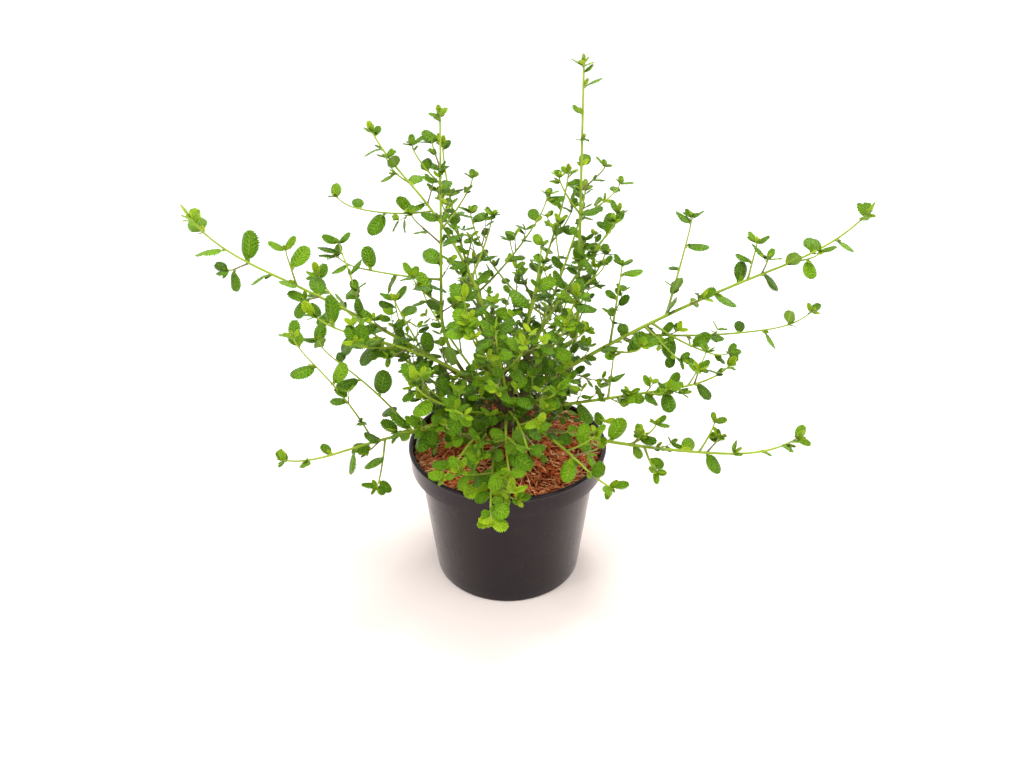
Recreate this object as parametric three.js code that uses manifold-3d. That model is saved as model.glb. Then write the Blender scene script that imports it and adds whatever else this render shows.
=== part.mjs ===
// California lilac: a young, open shrub of Ceanothus in a round black nursery pot.
// Units are millimetres, +Z is up, and the origin is the centre of the pot's flat underside.
// Directions are in degrees: 0 points along +X, 90 along +Y, and a rise is counted up from level.

import * as THREE from 'three';
import { mergeVertices } from 'three/addons/utils/BufferGeometryUtils.js';
import Module from 'manifold-3d';

const wasm = await Module();
wasm.setup();

// ---- Driving dimensions ---------------------------------------------------

const GAP = 0.3; // clear space between touching pieces

const POT = {
  rim: 85, // outer radius of the rolled lip
  height: 125,
  collar: 83.8, // outer radius of the upright collar under the lip
  collarDepth: 19, // from the top of the lip to the step
  body: 76, // outer radius just under the step
  foot: 64.5, // outer radius at the underside
  wall: 2.2,
  lip: 3.6, // height of the rolled lip
  sides: 36,
  drains: 6, // drain holes in the floor
  drainRadius: 4,
  drainRing: 50,
};

const MULCH = {
  below: 7, // how far the surface lies under the rim at the wall
  crown: 137, // height of the heaped middle
  seat: 14, // radius of the flat seat under the stem
  rough: 1.6, // height of the lumps
};

const TRUNK = {
  height: 50,
  flare: 10, // radius at the flat cut
  radius: 7.4,
  neck: 5.6, // radius under the rounded top
  lowest: 9, // lowest shoot above the cut
  spread: 36, // height that the shoots' roots are spread over
  steepest: 75, // rise of a shoot at the top of that spread
  sides: 12,
};

const SHOOT = {
  tipRadius: 0.7,
  rootRadius: 1.15, // root radius of a shoot with no length ...
  thicken: 0.0028, // ... and what each millimetre of length adds
  lift: 38, // how far the end of a level shoot turns up
  liftFrom: 0.7, // share of its length where that starts
  step: 24, // length of one facet along a shoot
  traced: 40, // points worked out along each shoot
  sunk: 3, // how deep a shoot's root starts inside the trunk
};

const TWIG = {
  every: 3, // nodes from one twig to the next
  first: 2,
  inner: 40, // length of a twig over the pot's middle
  outer: 15, // length of a twig at the ends of long shoots
  fade: 0.2, // what each millimetre out from the middle takes off
  radius: 0.75,
  spread: 52,
};

const LEAF = {
  length: 19,
  vary: 0.25, // share by which lengths differ
  width: 0.82, // share of the length
  widest: 0.56, // where it is widest, share of the length
  dome: 0.1, // rise of the blade's middle, share of the length
  spacing: 20, // from one node to the next
  spread: 60, // angle between a leaf and its stem
  spiral: 137.5, // turn from one leaf to the next
  tip: 14, // length of the leaves at a stem's end
  sunward: 0.3, // how far the faces lean to the front
  tumble: 1, // how far they lean at random
};

const CLEAR = {
  space: 0.9, // how much nearer a leaf stays to its own stems than to any other mass's
  limb: 0.9, // air between a leaf and a bough, the stem, the pot or the mulch
  leaf: 0.58, // least distance between two leaves' middles, share of a leaf's length
};

// Each shoot leaves the short stem in its own direction. `aim` and `rise` give its start,
// `bend` is how far it rises further along its length, `turn` how far it swings to the left,
// and `by` the share of its length that the bending takes. The first `bough` share of the
// length is a bare limb. Side shoots are [share of the length, aim, rise, length, bend].
const SHOOTS = [
  { name: 'left_long', aim: 170, rise: 34, length: 288, bend: -8, turn: 15, bough: 0.22,
    side: [[0.3, 215, 10, 58, 20], [0.47, 120, 70, 66, -40], [0.67, 150, 75, 30, 0]] },
  { name: 'left_mid', aim: 188, rise: 43, length: 170, bend: -34, turn: -4, bough: 0.25,
    side: [[0.45, 140, 50, 52, 0], [0.6, 225, 10, 42, 20]] },
  { name: 'left_back', aim: 160, rise: 6, length: 206, bend: 25, turn: -6, by: 0.4, bough: 0.28,
    side: [[0.45, 110, 30, 64, 15]] },
  { name: 'left_low', aim: 198, rise: 5, length: 185, bend: -15, turn: 8, bough: 0.3,
    side: [[0.42, 170, 54, 108, -22], [0.55, 262, -60, 42, 40], [0.6, 187, 69, 112, -20]] },
  { name: 'left_tall', aim: 123, rise: 70, length: 240, bend: -44, turn: 28, bough: 0.22,
    side: [[0.38, 60, 40, 56, 20], [0.65, 190, -6, 81, 30], [0.78, 156, 16, 28, 48]] },
  { name: 'left_upright', aim: 152, rise: 20, length: 264, bend: 72, turn: 12, by: 0.4, bough: 0.2,
    side: [[0.42, 230, 35, 45, 20], [0.5, 166, -2, 92, 12], [0.66, 30, 40, 48, 20],
      [0.8, 200, 45, 38, 20]] },
  { name: 'back_left', aim: 108, rise: 40, length: 222, bend: 44, turn: 36, bough: 0.22,
    side: [[0.42, 11, 41, 106, 22], [0.65, 150, 50, 42, 20]] },
  { name: 'back_mid', aim: 81, rise: 34, length: 209, bend: 38, turn: -43, bough: 0.22,
    side: [[0.45, 130, 45, 56, 20], [0.7, 0, 50, 38, 20]] },
  { name: 'back_right', aim: 56, rise: 42, length: 188, bend: 26, turn: -10, bough: 0.25,
    side: [[0.4, 165, 30, 112, 45], [0.6, 100, 50, 42, 0], [0.88, 20, 16, 44, 30]] },
  { name: 'tallest', aim: 44, rise: -6, length: 328, bend: 97, turn: -12, by: 0.35, bough: 0.18,
    side: [[0.42, 20, 45, 42, 20], [0.52, 330, 40, 48, 20], [0.64, 200, 50, 38, 15]] },
  { name: 'right_up', aim: 37, rise: 60, length: 170, bend: -22, turn: -8, bough: 0.25,
    side: [[0.5, 350, 30, 48, 20]] },
  { name: 'right_long', aim: 8, rise: 34, length: 317, bend: -13, turn: -14, bough: 0.18,
    side: [[0.28, 300, 10, 56, 25], [0.36, -8, -2, 146, 20], [0.4, -48, -25, 42, 0],
      [0.42, -32, -26, 70, 28], [0.46, 62, 50, 84, 8], [0.68, 60, 60, 30, 0], [0.8, 300, 20, 28, 20],
      [0.3, 60, 76, 66, 0]] },
  { name: 'right_mid', aim: -18, rise: 18, length: 190, bend: 4, turn: -4, bough: 0.25,
    side: [[0.45, 75, 50, 34, 10], [0.62, 290, 20, 38, 20], [0.8, 40, 40, 30, 20]] },
  { name: 'right_low', aim: -34, rise: 3, length: 242, bend: 12, turn: 12, bough: 0.25,
    side: [[0.45, 325, 40, 34, 20], [0.5, 280, -20, 30, 20], [0.68, 30, 50, 26, 20]] },
  { name: 'right_front', aim: -56, rise: 14, length: 122, bend: -42, turn: 10, bough: 0.25,
    side: [[0.6, 340, 30, 32, 20]] },
  { name: 'front_low', aim: 255, rise: 5, length: 112, bend: -42, turn: 18, bough: 0.25,
    side: [[0.6, 215, 10, 34, 20], [0.7, 310, 5, 30, 20]] },
  { name: 'front_mid', aim: 284, rise: 22, length: 78, bend: -34, turn: -6, bough: 0,
    side: [[0.5, 330, 30, 32, 20]] },
  { name: 'front_left', aim: 225, rise: 18, length: 108, bend: 28, turn: -15, bough: 0,
    side: [[0.45, 265, 20, 40, 20], [0.5, 175, 30, 36, 20]] },
  { name: 'front_right', aim: 305, rise: 32, length: 76, bend: 0, turn: 0, bough: 0,
    side: [[0.5, 350, 30, 34, 10]] },
  { name: 'rear_right', aim: 68, rise: 8, length: 150, bend: 30, turn: -8, bough: 0.3,
    side: [[0.45, 20, 30, 46, 20], [0.6, 110, 40, 42, 20]] },
  { name: 'rear_mid', aim: 98, rise: 16, length: 165, bend: 22, turn: 10, bough: 0.3,
    side: [[0.5, 60, 30, 46, 20], [0.6, 140, 40, 42, 20]] },
  { name: 'rear_left', aim: 120, rise: 12, length: 150, bend: 28, turn: 14, bough: 0.3,
    side: [[0.5, 100, 40, 46, 20]] },
  { name: 'inner_left', aim: 210, rise: 62, length: 100, bend: 10, turn: 20, bough: 0,
    side: [[0.5, 250, 40, 42, 20]] },
  { name: 'inner_right', aim: 335, rise: 55, length: 110, bend: 10, turn: 10, bough: 0,
    side: [[0.45, 300, 40, 48, 20], [0.6, 20, 50, 38, 20]] },
  { name: 'inner_front', aim: 265, rise: 50, length: 100, bend: 15, turn: -10, bough: 0,
    side: [[0.5, 310, 40, 44, 20], [0.55, 215, 40, 42, 20]] },
  { name: 'inner_top', aim: 15, rise: 74, length: 120, bend: 8, turn: 10, bough: 0,
    side: [[0.5, 60, 50, 44, 20]] },
  { name: 'front_short', aim: 266, rise: 16, length: 84, bend: -40, turn: 10, bough: 0,
    side: [[0.5, 305, -5, 28, 10], [0.55, 220, 10, 28, 10]] },
  { name: 'front_rim', aim: 238, rise: 14, length: 98, bend: -38, turn: 8, bough: 0,
    side: [[0.45, 190, 10, 34, 10], [0.6, 290, 0, 26, 10]] },
  { name: 'left_rim', aim: 205, rise: 14, length: 96, bend: -24, turn: 4, bough: 0,
    side: [[0.45, 170, 20, 34, 10], [0.6, 240, 10, 30, 10]] },
];

const FINISH = {
  pot: { color: 0x35302f, roughness: 0.42, metalness: 0 },
  mulch: { color: 0x8a4e2c, roughness: 0.95, metalness: 0 },
  trunk: { color: 0x6b5a38, roughness: 0.85, metalness: 0 },
  bough: { color: 0x72903a, roughness: 0.6, metalness: 0 },
  foliage: { color: 0x4c8a2f, roughness: 0.5, metalness: 0 },
};

// ---- Small helpers --------------------------------------------------------

const UP = new THREE.Vector3(0, 0, 1);
const rad = THREE.MathUtils.degToRad;
const clamp = THREE.MathUtils.clamp;
const mix = THREE.MathUtils.lerp;

// A number from 0 to 1 that is always the same for the same three keys.
function chance(a, b, c) {
  const wave = Math.sin(a * 12.9898 + b * 78.233 + c * 37.719) * 43758.5453;
  return wave - Math.floor(wave);
}

function heading(aim, rise) {
  const level = Math.cos(rad(rise));
  return new THREE.Vector3(level * Math.cos(rad(aim)), level * Math.sin(rad(aim)), Math.sin(rad(rise)));
}

function toSolid(geometry) {
  const bare = new THREE.BufferGeometry();
  bare.setAttribute('position', geometry.getAttribute('position').clone());
  bare.setIndex(geometry.getIndex().clone());
  const merged = mergeVertices(bare);
  return new wasm.Manifold(new wasm.Mesh({
    numProp: 3,
    vertProperties: new Float32Array(merged.getAttribute('position').array),
    triVerts: new Uint32Array(merged.getIndex().array),
  }));
}

// The largest connected body of a fused solid: loose scrap and sealed hollows drop out.
function mainBody(solid) {
  const bodies = solid.decompose();
  return bodies.reduce((best, body) => (body.volume() > best.volume() ? body : best));
}

function toMesh(name, solid, finish) {
  const { vertProperties, triVerts } = solid.getMesh();
  const geometry = new THREE.BufferGeometry();
  geometry.setAttribute('position', new THREE.BufferAttribute(vertProperties, 3));
  geometry.setIndex(new THREE.BufferAttribute(triVerts, 1));
  geometry.computeVertexNormals();
  const mesh = new THREE.Mesh(geometry, new THREE.MeshStandardMaterial(finish));
  mesh.name = name;
  return mesh;
}

// Turns a closed outline of [radius, height] pairs about the Z axis.
function turned(outline, sides) {
  const points = outline.map(([radius, height]) => new THREE.Vector2(radius, height));
  return new THREE.LatheGeometry(points, sides).rotateX(Math.PI / 2);
}

function reshape(geometry, change) {
  const position = geometry.getAttribute('position');
  const point = new THREE.Vector3();
  for (let i = 0; i < position.count; i += 1) {
    change(point.fromBufferAttribute(position, i));
    position.setXYZ(i, point.x, point.y, point.z);
  }
  return geometry;
}

// ---- Pot and mulch --------------------------------------------------------

const STEP_Z = POT.height - POT.collarDepth;
const INNER_COLLAR = POT.collar - POT.wall;
const LEDGE = 1.5; // height of the sloping step between body and collar

function potSolid() {
  const lipZ = POT.height - POT.lip;
  const outline = [
    [0, 0], [POT.foot - 2, 0], [POT.foot, 2],
    [POT.body, STEP_Z - LEDGE], [POT.collar - 0.6, STEP_Z], [POT.collar - 0.3, STEP_Z + 1],
    [POT.collar, lipZ - 1], [POT.rim, lipZ], [POT.rim, POT.height - 1.2], [POT.rim - 0.9, POT.height],
    [INNER_COLLAR + 0.9, POT.height], [INNER_COLLAR, POT.height - 1.2],
    [INNER_COLLAR, STEP_Z + POT.wall], [POT.body - POT.wall, STEP_Z + POT.wall - LEDGE],
    [POT.foot - POT.wall, POT.wall + 2], [POT.foot - POT.wall - 2, POT.wall], [0, POT.wall],
  ];
  let pot = toSolid(turned(outline, POT.sides));
  for (let i = 0; i < POT.drains; i += 1) {
    const drain = new THREE.CylinderGeometry(POT.drainRadius, POT.drainRadius, POT.wall * 3, 8);
    drain.rotateX(Math.PI / 2);
    drain.translate(POT.drainRing, 0, POT.wall / 2);
    drain.rotateZ(((i + 0.5) / POT.drains) * 2 * Math.PI);
    pot = pot.subtract(toSolid(drain));
  }
  return pot;
}

// Height of the heaped mulch at a distance from the middle, before its lumps.
function mulchHeight(radius) {
  const wallZ = POT.height - MULCH.below;
  const share = clamp((radius - MULCH.seat) / (INNER_COLLAR - MULCH.seat), 0, 1);
  return mix(MULCH.crown, wallZ, share * share * (3 - 2 * share));
}

function mulchSolid() {
  const wall = POT.wall + GAP;
  const edge = INNER_COLLAR - GAP;
  const outline = [
    [0, wall], [POT.foot - wall - 2, wall], [POT.foot - wall, wall + 2],
    [POT.body - wall, STEP_Z + wall - LEDGE], [edge, STEP_Z + wall],
    [edge, mulchHeight(edge) - 1],
  ];
  const rings = [74, 63, 52, 42, 32, 23, MULCH.seat];
  rings.forEach((radius) => outline.push([radius, mulchHeight(radius)]));
  outline.push([0, MULCH.crown]);
  const lumpy = reshape(turned(outline, POT.sides), (point) => {
    const radius = Math.hypot(point.x, point.y);
    const onTop = point.z > STEP_Z + MULCH.below && radius > MULCH.seat + 1 && radius < edge - 1;
    const lump = chance(Math.round(point.x), Math.round(point.y), 3) - 0.5;
    point.z += onTop ? lump * 2 * MULCH.rough : 0;
  });
  return toSolid(lumpy);
}

// ---- Short main stem ------------------------------------------------------

const FOOT_Z = MULCH.crown + GAP;

function trunkSolid(extra) {
  const rise = (share) => FOOT_Z + share * TRUNK.height;
  const outline = [
    [0, FOOT_Z - extra], [TRUNK.flare + extra, FOOT_Z - extra], [TRUNK.radius * 1.12 + extra, rise(0.09)],
    [TRUNK.radius + extra, rise(0.25)], [mix(TRUNK.radius, TRUNK.neck, 0.4) + extra, rise(0.5)],
    [mix(TRUNK.radius, TRUNK.neck, 0.75) + extra, rise(0.72)], [TRUNK.neck + extra, rise(0.9)],
    [TRUNK.neck * 0.55 + extra, rise(0.98)], [0, rise(1) + extra],
  ];
  return toSolid(turned(outline, TRUNK.sides));
}

// ---- Shoots: where each stem runs -----------------------------------------

// A stem is a list of points along a bent line, with its length and its radius at both ends.
function traceStem(start, { aim, rise, length, bend, turn = 0, by = 1 }, rootRadius, tipRadius) {
  const lift = SHOOT.lift * Math.max(0, Math.cos(rad(rise + bend)));
  const points = [start.clone()];
  for (let i = 0; i < SHOOT.traced; i += 1) {
    const share = (i + 0.5) / SHOOT.traced;
    const bent = Math.min(1, share / by);
    const lifted = clamp((share - SHOOT.liftFrom) / (1 - SHOOT.liftFrom), 0, 1) ** 2;
    const way = heading(aim + turn * bent, rise + bend * bent + lift * lifted);
    points.push(points[i].clone().addScaledVector(way, length / SHOOT.traced));
  }
  return { points, length, rootRadius, tipRadius };
}

function pointOn(stem, share) {
  const place = clamp(share, 0, 1) * (stem.points.length - 1);
  const i = Math.min(Math.floor(place), stem.points.length - 2);
  return stem.points[i].clone().lerp(stem.points[i + 1], place - i);
}

function wayOn(stem, share) {
  const i = Math.min(Math.floor(clamp(share, 0, 1) * (stem.points.length - 1)), stem.points.length - 2);
  return stem.points[i + 1].clone().sub(stem.points[i]).normalize();
}

const radiusOn = (stem, share) => mix(stem.rootRadius, stem.tipRadius, share);

// The main stem and side shoots of one shoot, the main stem first.
function traceShoot(shoot) {
  const height = TRUNK.lowest + TRUNK.spread * clamp(shoot.rise / TRUNK.steepest, 0, 1);
  const out = heading(shoot.aim, 0).multiplyScalar(TRUNK.radius - SHOOT.sunk);
  const start = new THREE.Vector3(out.x, out.y, FOOT_Z + height);
  const rootRadius = SHOOT.rootRadius + SHOOT.thicken * shoot.length;
  const main = traceStem(start, shoot, rootRadius, SHOOT.tipRadius);
  const sides = shoot.side.map(([at, aim, rise, length, bend]) => {
    const radius = Math.min(radiusOn(main, at) * 0.8, SHOOT.rootRadius);
    return traceStem(pointOn(main, at), { aim, rise, length, bend }, radius, SHOOT.tipRadius * 0.8);
  });
  return [main, ...sides];
}

// ---- Shoots: the solids ---------------------------------------------------

// A bent, tapering limb between two shares of a stem's length.
function limbSolid(stem, from, to, sides) {
  const steps = Math.max(1, Math.round(((to - from) * stem.length) / SHOOT.step));
  const rod = new THREE.CylinderGeometry(1, 1, 1, sides, steps).rotateX(Math.PI / 2);
  const frames = [];
  let across = wayOn(stem, from).cross(UP);
  if (across.lengthSq() < 1e-3) across = new THREE.Vector3(1, 0, 0);
  for (let i = 0; i <= steps; i += 1) {
    const share = mix(from, to, i / steps);
    const way = wayOn(stem, share);
    across = across.addScaledVector(way, -across.dot(way)).normalize();
    frames.push({
      middle: pointOn(stem, share),
      across: across.clone(),
      over: way.clone().cross(across),
      radius: radiusOn(stem, share),
    });
  }
  return toSolid(reshape(rod, (point) => {
    const frame = frames[Math.round((point.z + 0.5) * steps)];
    const { x, y } = point;
    point.copy(frame.middle);
    point.addScaledVector(frame.across, x * frame.radius);
    point.addScaledVector(frame.over, y * frame.radius);
  }));
}

// One leaf: a four-sided, slightly domed blade whose root lies on its stem's middle line.
function leafSolid({ root, way, face, length }) {
  const blade = new THREE.ConeGeometry(0.5, 1, 4).rotateX(Math.PI / 2).translate(0.5, 0, 0.5);
  reshape(blade, (point) => {
    const alongRim = point.z < 0.5 && Math.abs(point.y) > 0.4;
    point.x = alongRim ? LEAF.widest : point.x;
  });
  blade.scale(length, length * LEAF.width, length * LEAF.dome);
  const side = face.clone().cross(way);
  blade.applyMatrix4(new THREE.Matrix4().makeBasis(way, side, face).setPosition(root));
  return toSolid(blade);
}

// ---- The space that each mass keeps to ------------------------------------

const shoots = SHOOTS.map((shoot, id) => ({ ...shoot, id, stems: traceShoot(shoot) }));

function distanceTo(point, stem, from, to) {
  const first = Math.floor(from * SHOOT.traced);
  const last = Math.ceil(to * SHOOT.traced);
  let nearest = Infinity;
  const run = new THREE.Line3();
  const foot = new THREE.Vector3();
  for (let i = first; i < last; i += 1) {
    run.set(stem.points[i], stem.points[i + 1]).closestPointToPoint(point, true, foot);
    nearest = Math.min(nearest, foot.distanceTo(point));
  }
  return nearest;
}

function nearestStem(point, shoot) {
  return Math.min(...shoot.stems.map((stem, i) => distanceTo(point, stem, i === 0 ? shoot.bough : 0, 1)));
}

function clearOfLimbs(point) {
  const radius = Math.hypot(point.x, point.y);
  const ground = radius < INNER_COLLAR ? mulchHeight(radius) + MULCH.rough : POT.height;
  if (radius < POT.rim + CLEAR.limb && point.z < ground + CLEAR.limb) return false;
  if (radius < TRUNK.radius + CLEAR.limb && point.z < FOOT_Z + TRUNK.height + CLEAR.limb) return false;
  return shoots.every(({ bough, stems: [main] }) => (
    bough === 0 || distanceTo(point, main, 0, bough) > main.rootRadius + CLEAR.limb
  ));
}

function inOwnSpace(point, owner) {
  const own = nearestStem(point, owner);
  const others = shoots.filter((shoot) => shoot !== owner);
  return others.every((shoot) => nearestStem(point, shoot) > own + CLEAR.space);
}

function fits(points, owner) {
  return points.every((point) => clearOfLimbs(point) && inOwnSpace(point, owner));
}

const middleOf = ({ root, way, length }) => root.clone().addScaledVector(way, length / 2);

function leafPoints({ root, way, face, length }) {
  const side = face.clone().cross(way);
  const points = [];
  for (const [along, across] of [[0.55, 0.52], [0.55, -0.52], [0.55, 0], [0.8, 0.25], [0.8, -0.25], [1.02, 0]]) {
    const point = root.clone().addScaledVector(way, along * length);
    points.push(point.addScaledVector(side, across * LEAF.width * length));
  }
  return points;
}

// ---- The seeded rule for leaves and twigs ---------------------------------

// Leaf `count` of a stem, at a share of its length, turned about it by `around` degrees.
function leafAt(stem, share, around, spread, length, seed) {
  const way = wayOn(stem, share);
  let level = way.clone().cross(UP);
  if (level.lengthSq() < 1e-3) level = new THREE.Vector3(1, 0, 0);
  level.normalize();
  const over = level.clone().cross(way);
  const out = level.multiplyScalar(Math.cos(rad(around))).addScaledVector(over, Math.sin(rad(around)));
  const aim = way.clone().multiplyScalar(Math.cos(rad(spread))).addScaledVector(out, Math.sin(rad(spread)));
  aim.normalize();
  const face = UP.clone().addScaledVector(way, 0.35);
  face.x += (chance(seed, 5, 1) - 0.5) * LEAF.tumble;
  face.y += (chance(seed, 6, 2) - 0.5) * LEAF.tumble - LEAF.sunward;
  face.addScaledVector(aim, -face.dot(aim));
  if (face.lengthSq() < 1e-3) face.copy(way.addScaledVector(aim, -way.dot(aim)));
  return { root: pointOn(stem, share), way: aim, face: face.normalize(), length };
}

function leavesAlong(stem, from, seed) {
  const leaves = [];
  const first = from * stem.length + LEAF.spacing * 0.5;
  const count = Math.floor((stem.length - first) / LEAF.spacing);
  for (let k = 0; k <= count; k += 1) {
    const share = (first + k * LEAF.spacing) / stem.length;
    if (share > 0.96) break;
    const key = seed + k * 0.37;
    const length = LEAF.length * (1 + LEAF.vary * (chance(key, 1, 1) * 2 - 1));
    const spread = LEAF.spread + 20 * (chance(key, 2, 2) - 0.5);
    leaves.push(leafAt(stem, share, seed * 50 + k * LEAF.spiral, spread, length, key));
  }
  return leaves;
}

function leavesAtTip(stem, seed, turns) {
  return turns.map((around, i) => {
    const length = LEAF.tip * (0.85 + 0.3 * chance(seed, i, 4));
    return leafAt(stem, 0.975 + 0.012 * i, around, i === 2 ? 14 : 48, length, seed + i);
  });
}

function twigsAlong(stem, from, seed) {
  const twigs = [];
  const first = from * stem.length + LEAF.spacing * 0.5;
  for (let k = TWIG.first; first + k * LEAF.spacing < stem.length * 0.85; k += TWIG.every) {
    const share = (first + k * LEAF.spacing) / stem.length;
    const start = pointOn(stem, share);
    const reach = TWIG.inner - TWIG.fade * Math.hypot(start.x, start.y);
    const length = Math.max(TWIG.outer, reach) * (0.8 + 0.4 * chance(seed, k, 7));
    const { way } = leafAt(stem, share, seed * 50 + k * LEAF.spiral + 180, TWIG.spread, length, seed);
    const aim = THREE.MathUtils.radToDeg(Math.atan2(way.y, way.x));
    const rise = THREE.MathUtils.radToDeg(Math.asin(way.z));
    twigs.push(traceStem(start, { aim, rise, length, bend: 0 }, TWIG.radius, TWIG.radius * 0.8));
  }
  return twigs;
}

// ---- Foliage masses -------------------------------------------------------

function massSolid(shoot, cutter) {
  const [main, ...sides] = shoot.stems;
  const start = shoot.bough === 0 ? 0 : shoot.bough + GAP / main.length;
  const pieces = [limbSolid(main, start, 1, 4)];
  const bare = Math.max(shoot.bough, 0.12);
  const leaves = [...leavesAtTip(main, shoot.id, [10, 170, 90]), ...leavesAlong(main, bare, shoot.id + 1)];
  sides.forEach((stem, i) => {
    pieces.push(limbSolid(stem, 0, 1, 3));
    const seed = shoot.id + 1 + (i + 1) * 31;
    leaves.push(...leavesAtTip(stem, seed, [20, 200]), ...leavesAlong(stem, 0.1, seed));
  });
  twigsAlong(main, shoot.bough, shoot.id + 1).forEach((twig, i) => {
    const shares = [0.5, 0.75, 1];
    if (!fits(shares.map((share) => pointOn(twig, share)), shoot)) return;
    const seed = shoot.id + 7 + (i + 1) * 57;
    pieces.push(limbSolid(twig, 0, 1, 3));
    leaves.push(...leavesAtTip(twig, seed, [0, 180]), ...leavesAlong(twig, 0.1, seed));
  });
  const kept = [];
  for (const leaf of leaves) {
    const free = kept.every((other) => middleOf(leaf).distanceTo(middleOf(other)) > CLEAR.leaf * LEAF.length);
    if (free && fits(leafPoints(leaf), shoot)) kept.push(leaf);
  }
  let solid = wasm.Manifold.union([...pieces, ...kept.map(leafSolid)]);
  if (shoot.bough === 0) solid = solid.subtract(cutter);
  return mainBody(solid);
}

// ---- The whole plant in its pot -------------------------------------------

const plant = new THREE.Group();
plant.add(toMesh('pot', potSolid(), FINISH.pot));
plant.add(toMesh('mulch', mulchSolid(), FINISH.mulch));
plant.add(toMesh('trunk', trunkSolid(0), FINISH.trunk));

const seatCutter = trunkSolid(GAP);
for (const shoot of shoots) {
  if (shoot.bough > 0) {
    const bough = limbSolid(shoot.stems[0], 0, shoot.bough, 5).subtract(seatCutter);
    plant.add(toMesh(`bough_${shoot.name}`, mainBody(bough), FINISH.bough));
  }
  plant.add(toMesh(`foliage_${shoot.name}`, massSolid(shoot, seatCutter), FINISH.foliage));
}

export default plant;
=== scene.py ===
"""California lilac in a black nursery pot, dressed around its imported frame.

The plant's rule works in millimetres in the part's own frame: +X right, +Y back, +Z up, with the
origin at the centre of the pot's underside. Meshes are made in metres from it.
"""

import itertools
import math

import bpy
import mathutils
import numpy as np
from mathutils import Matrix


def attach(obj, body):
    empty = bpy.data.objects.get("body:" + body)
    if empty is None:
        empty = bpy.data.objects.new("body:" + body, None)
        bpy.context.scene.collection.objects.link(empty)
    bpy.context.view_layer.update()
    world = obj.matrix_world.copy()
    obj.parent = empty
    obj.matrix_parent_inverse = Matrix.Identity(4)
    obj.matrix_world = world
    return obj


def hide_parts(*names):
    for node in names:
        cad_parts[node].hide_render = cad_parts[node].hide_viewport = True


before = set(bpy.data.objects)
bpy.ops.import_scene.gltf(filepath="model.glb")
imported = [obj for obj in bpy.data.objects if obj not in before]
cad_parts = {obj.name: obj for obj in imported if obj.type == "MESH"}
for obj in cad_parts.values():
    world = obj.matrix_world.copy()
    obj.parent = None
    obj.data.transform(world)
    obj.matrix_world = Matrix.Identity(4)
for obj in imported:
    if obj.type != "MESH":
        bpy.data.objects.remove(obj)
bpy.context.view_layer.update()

MM = 0.001

# ---- Driving sizes, in millimetres, the same as the solids' ----

POT_RIM = 85.0
POT_HEIGHT = 125.0
POT_COLLAR = 83.8
POT_STEP_Z = POT_HEIGHT - 19.0
POT_BODY = 76.0
POT_FOOT = 64.5
POT_WALL = 2.2
POT_LIP = 3.6
POT_LEDGE = 1.5
POT_INNER = POT_COLLAR - POT_WALL
DRAINS = 6
DRAIN_RADIUS = 4.0
DRAIN_RING = 50.0

MULCH_EDGE_Z = POT_HEIGHT - 7.0
MULCH_CROWN = 137.0
MULCH_SEAT = 14.0

FOOT_Z = MULCH_CROWN + 0.3
TRUNK_HEIGHT = 50.0
TRUNK_FLARE = 10.0
TRUNK_RADIUS = 7.4
TRUNK_NECK = 5.6
TRUNK_LOWEST = 9.0
TRUNK_SPREAD = 36.0
TRUNK_STEEPEST = 75.0

STEM_TIP = 0.7
STEM_ROOT = 1.15
STEM_THICKEN = 0.0028
STEM_LIFT = 38.0
STEM_LIFT_FROM = 0.7
STEM_POINTS = 40
STEM_SUNK = 3.0
SIDE_THIN = 0.8

TWIG_EVERY = 3
TWIG_FIRST = 2
TWIG_END = 0.85
TWIG_INNER = 40.0
TWIG_OUTER = 15.0
TWIG_FADE = 0.2
TWIG_RADIUS = 0.75
TWIG_SPREAD = 52.0

LEAF_LENGTH = 19.0
LEAF_VARY = 0.25
LEAF_SPACING = 20.0
LEAF_SPREAD = 60.0
LEAF_SPIRAL = 137.5
LEAF_END = 0.96
LEAF_TIP = 14.0
LEAF_LEAN = 0.35  # how far the faces lean along their stem, ...
LEAF_SUNWARD = 0.3  # ... to the front ...
LEAF_TUMBLE = 1.0  # ... and at random

CLEAR_LIMB = 0.9
CLEAR_STEM = 1.6  # air between a blade and another mass's stems
CLEAR_MULCH = 1.6
MINGLE = 12.0  # how far a blade may reach into the next mass's space

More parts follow.
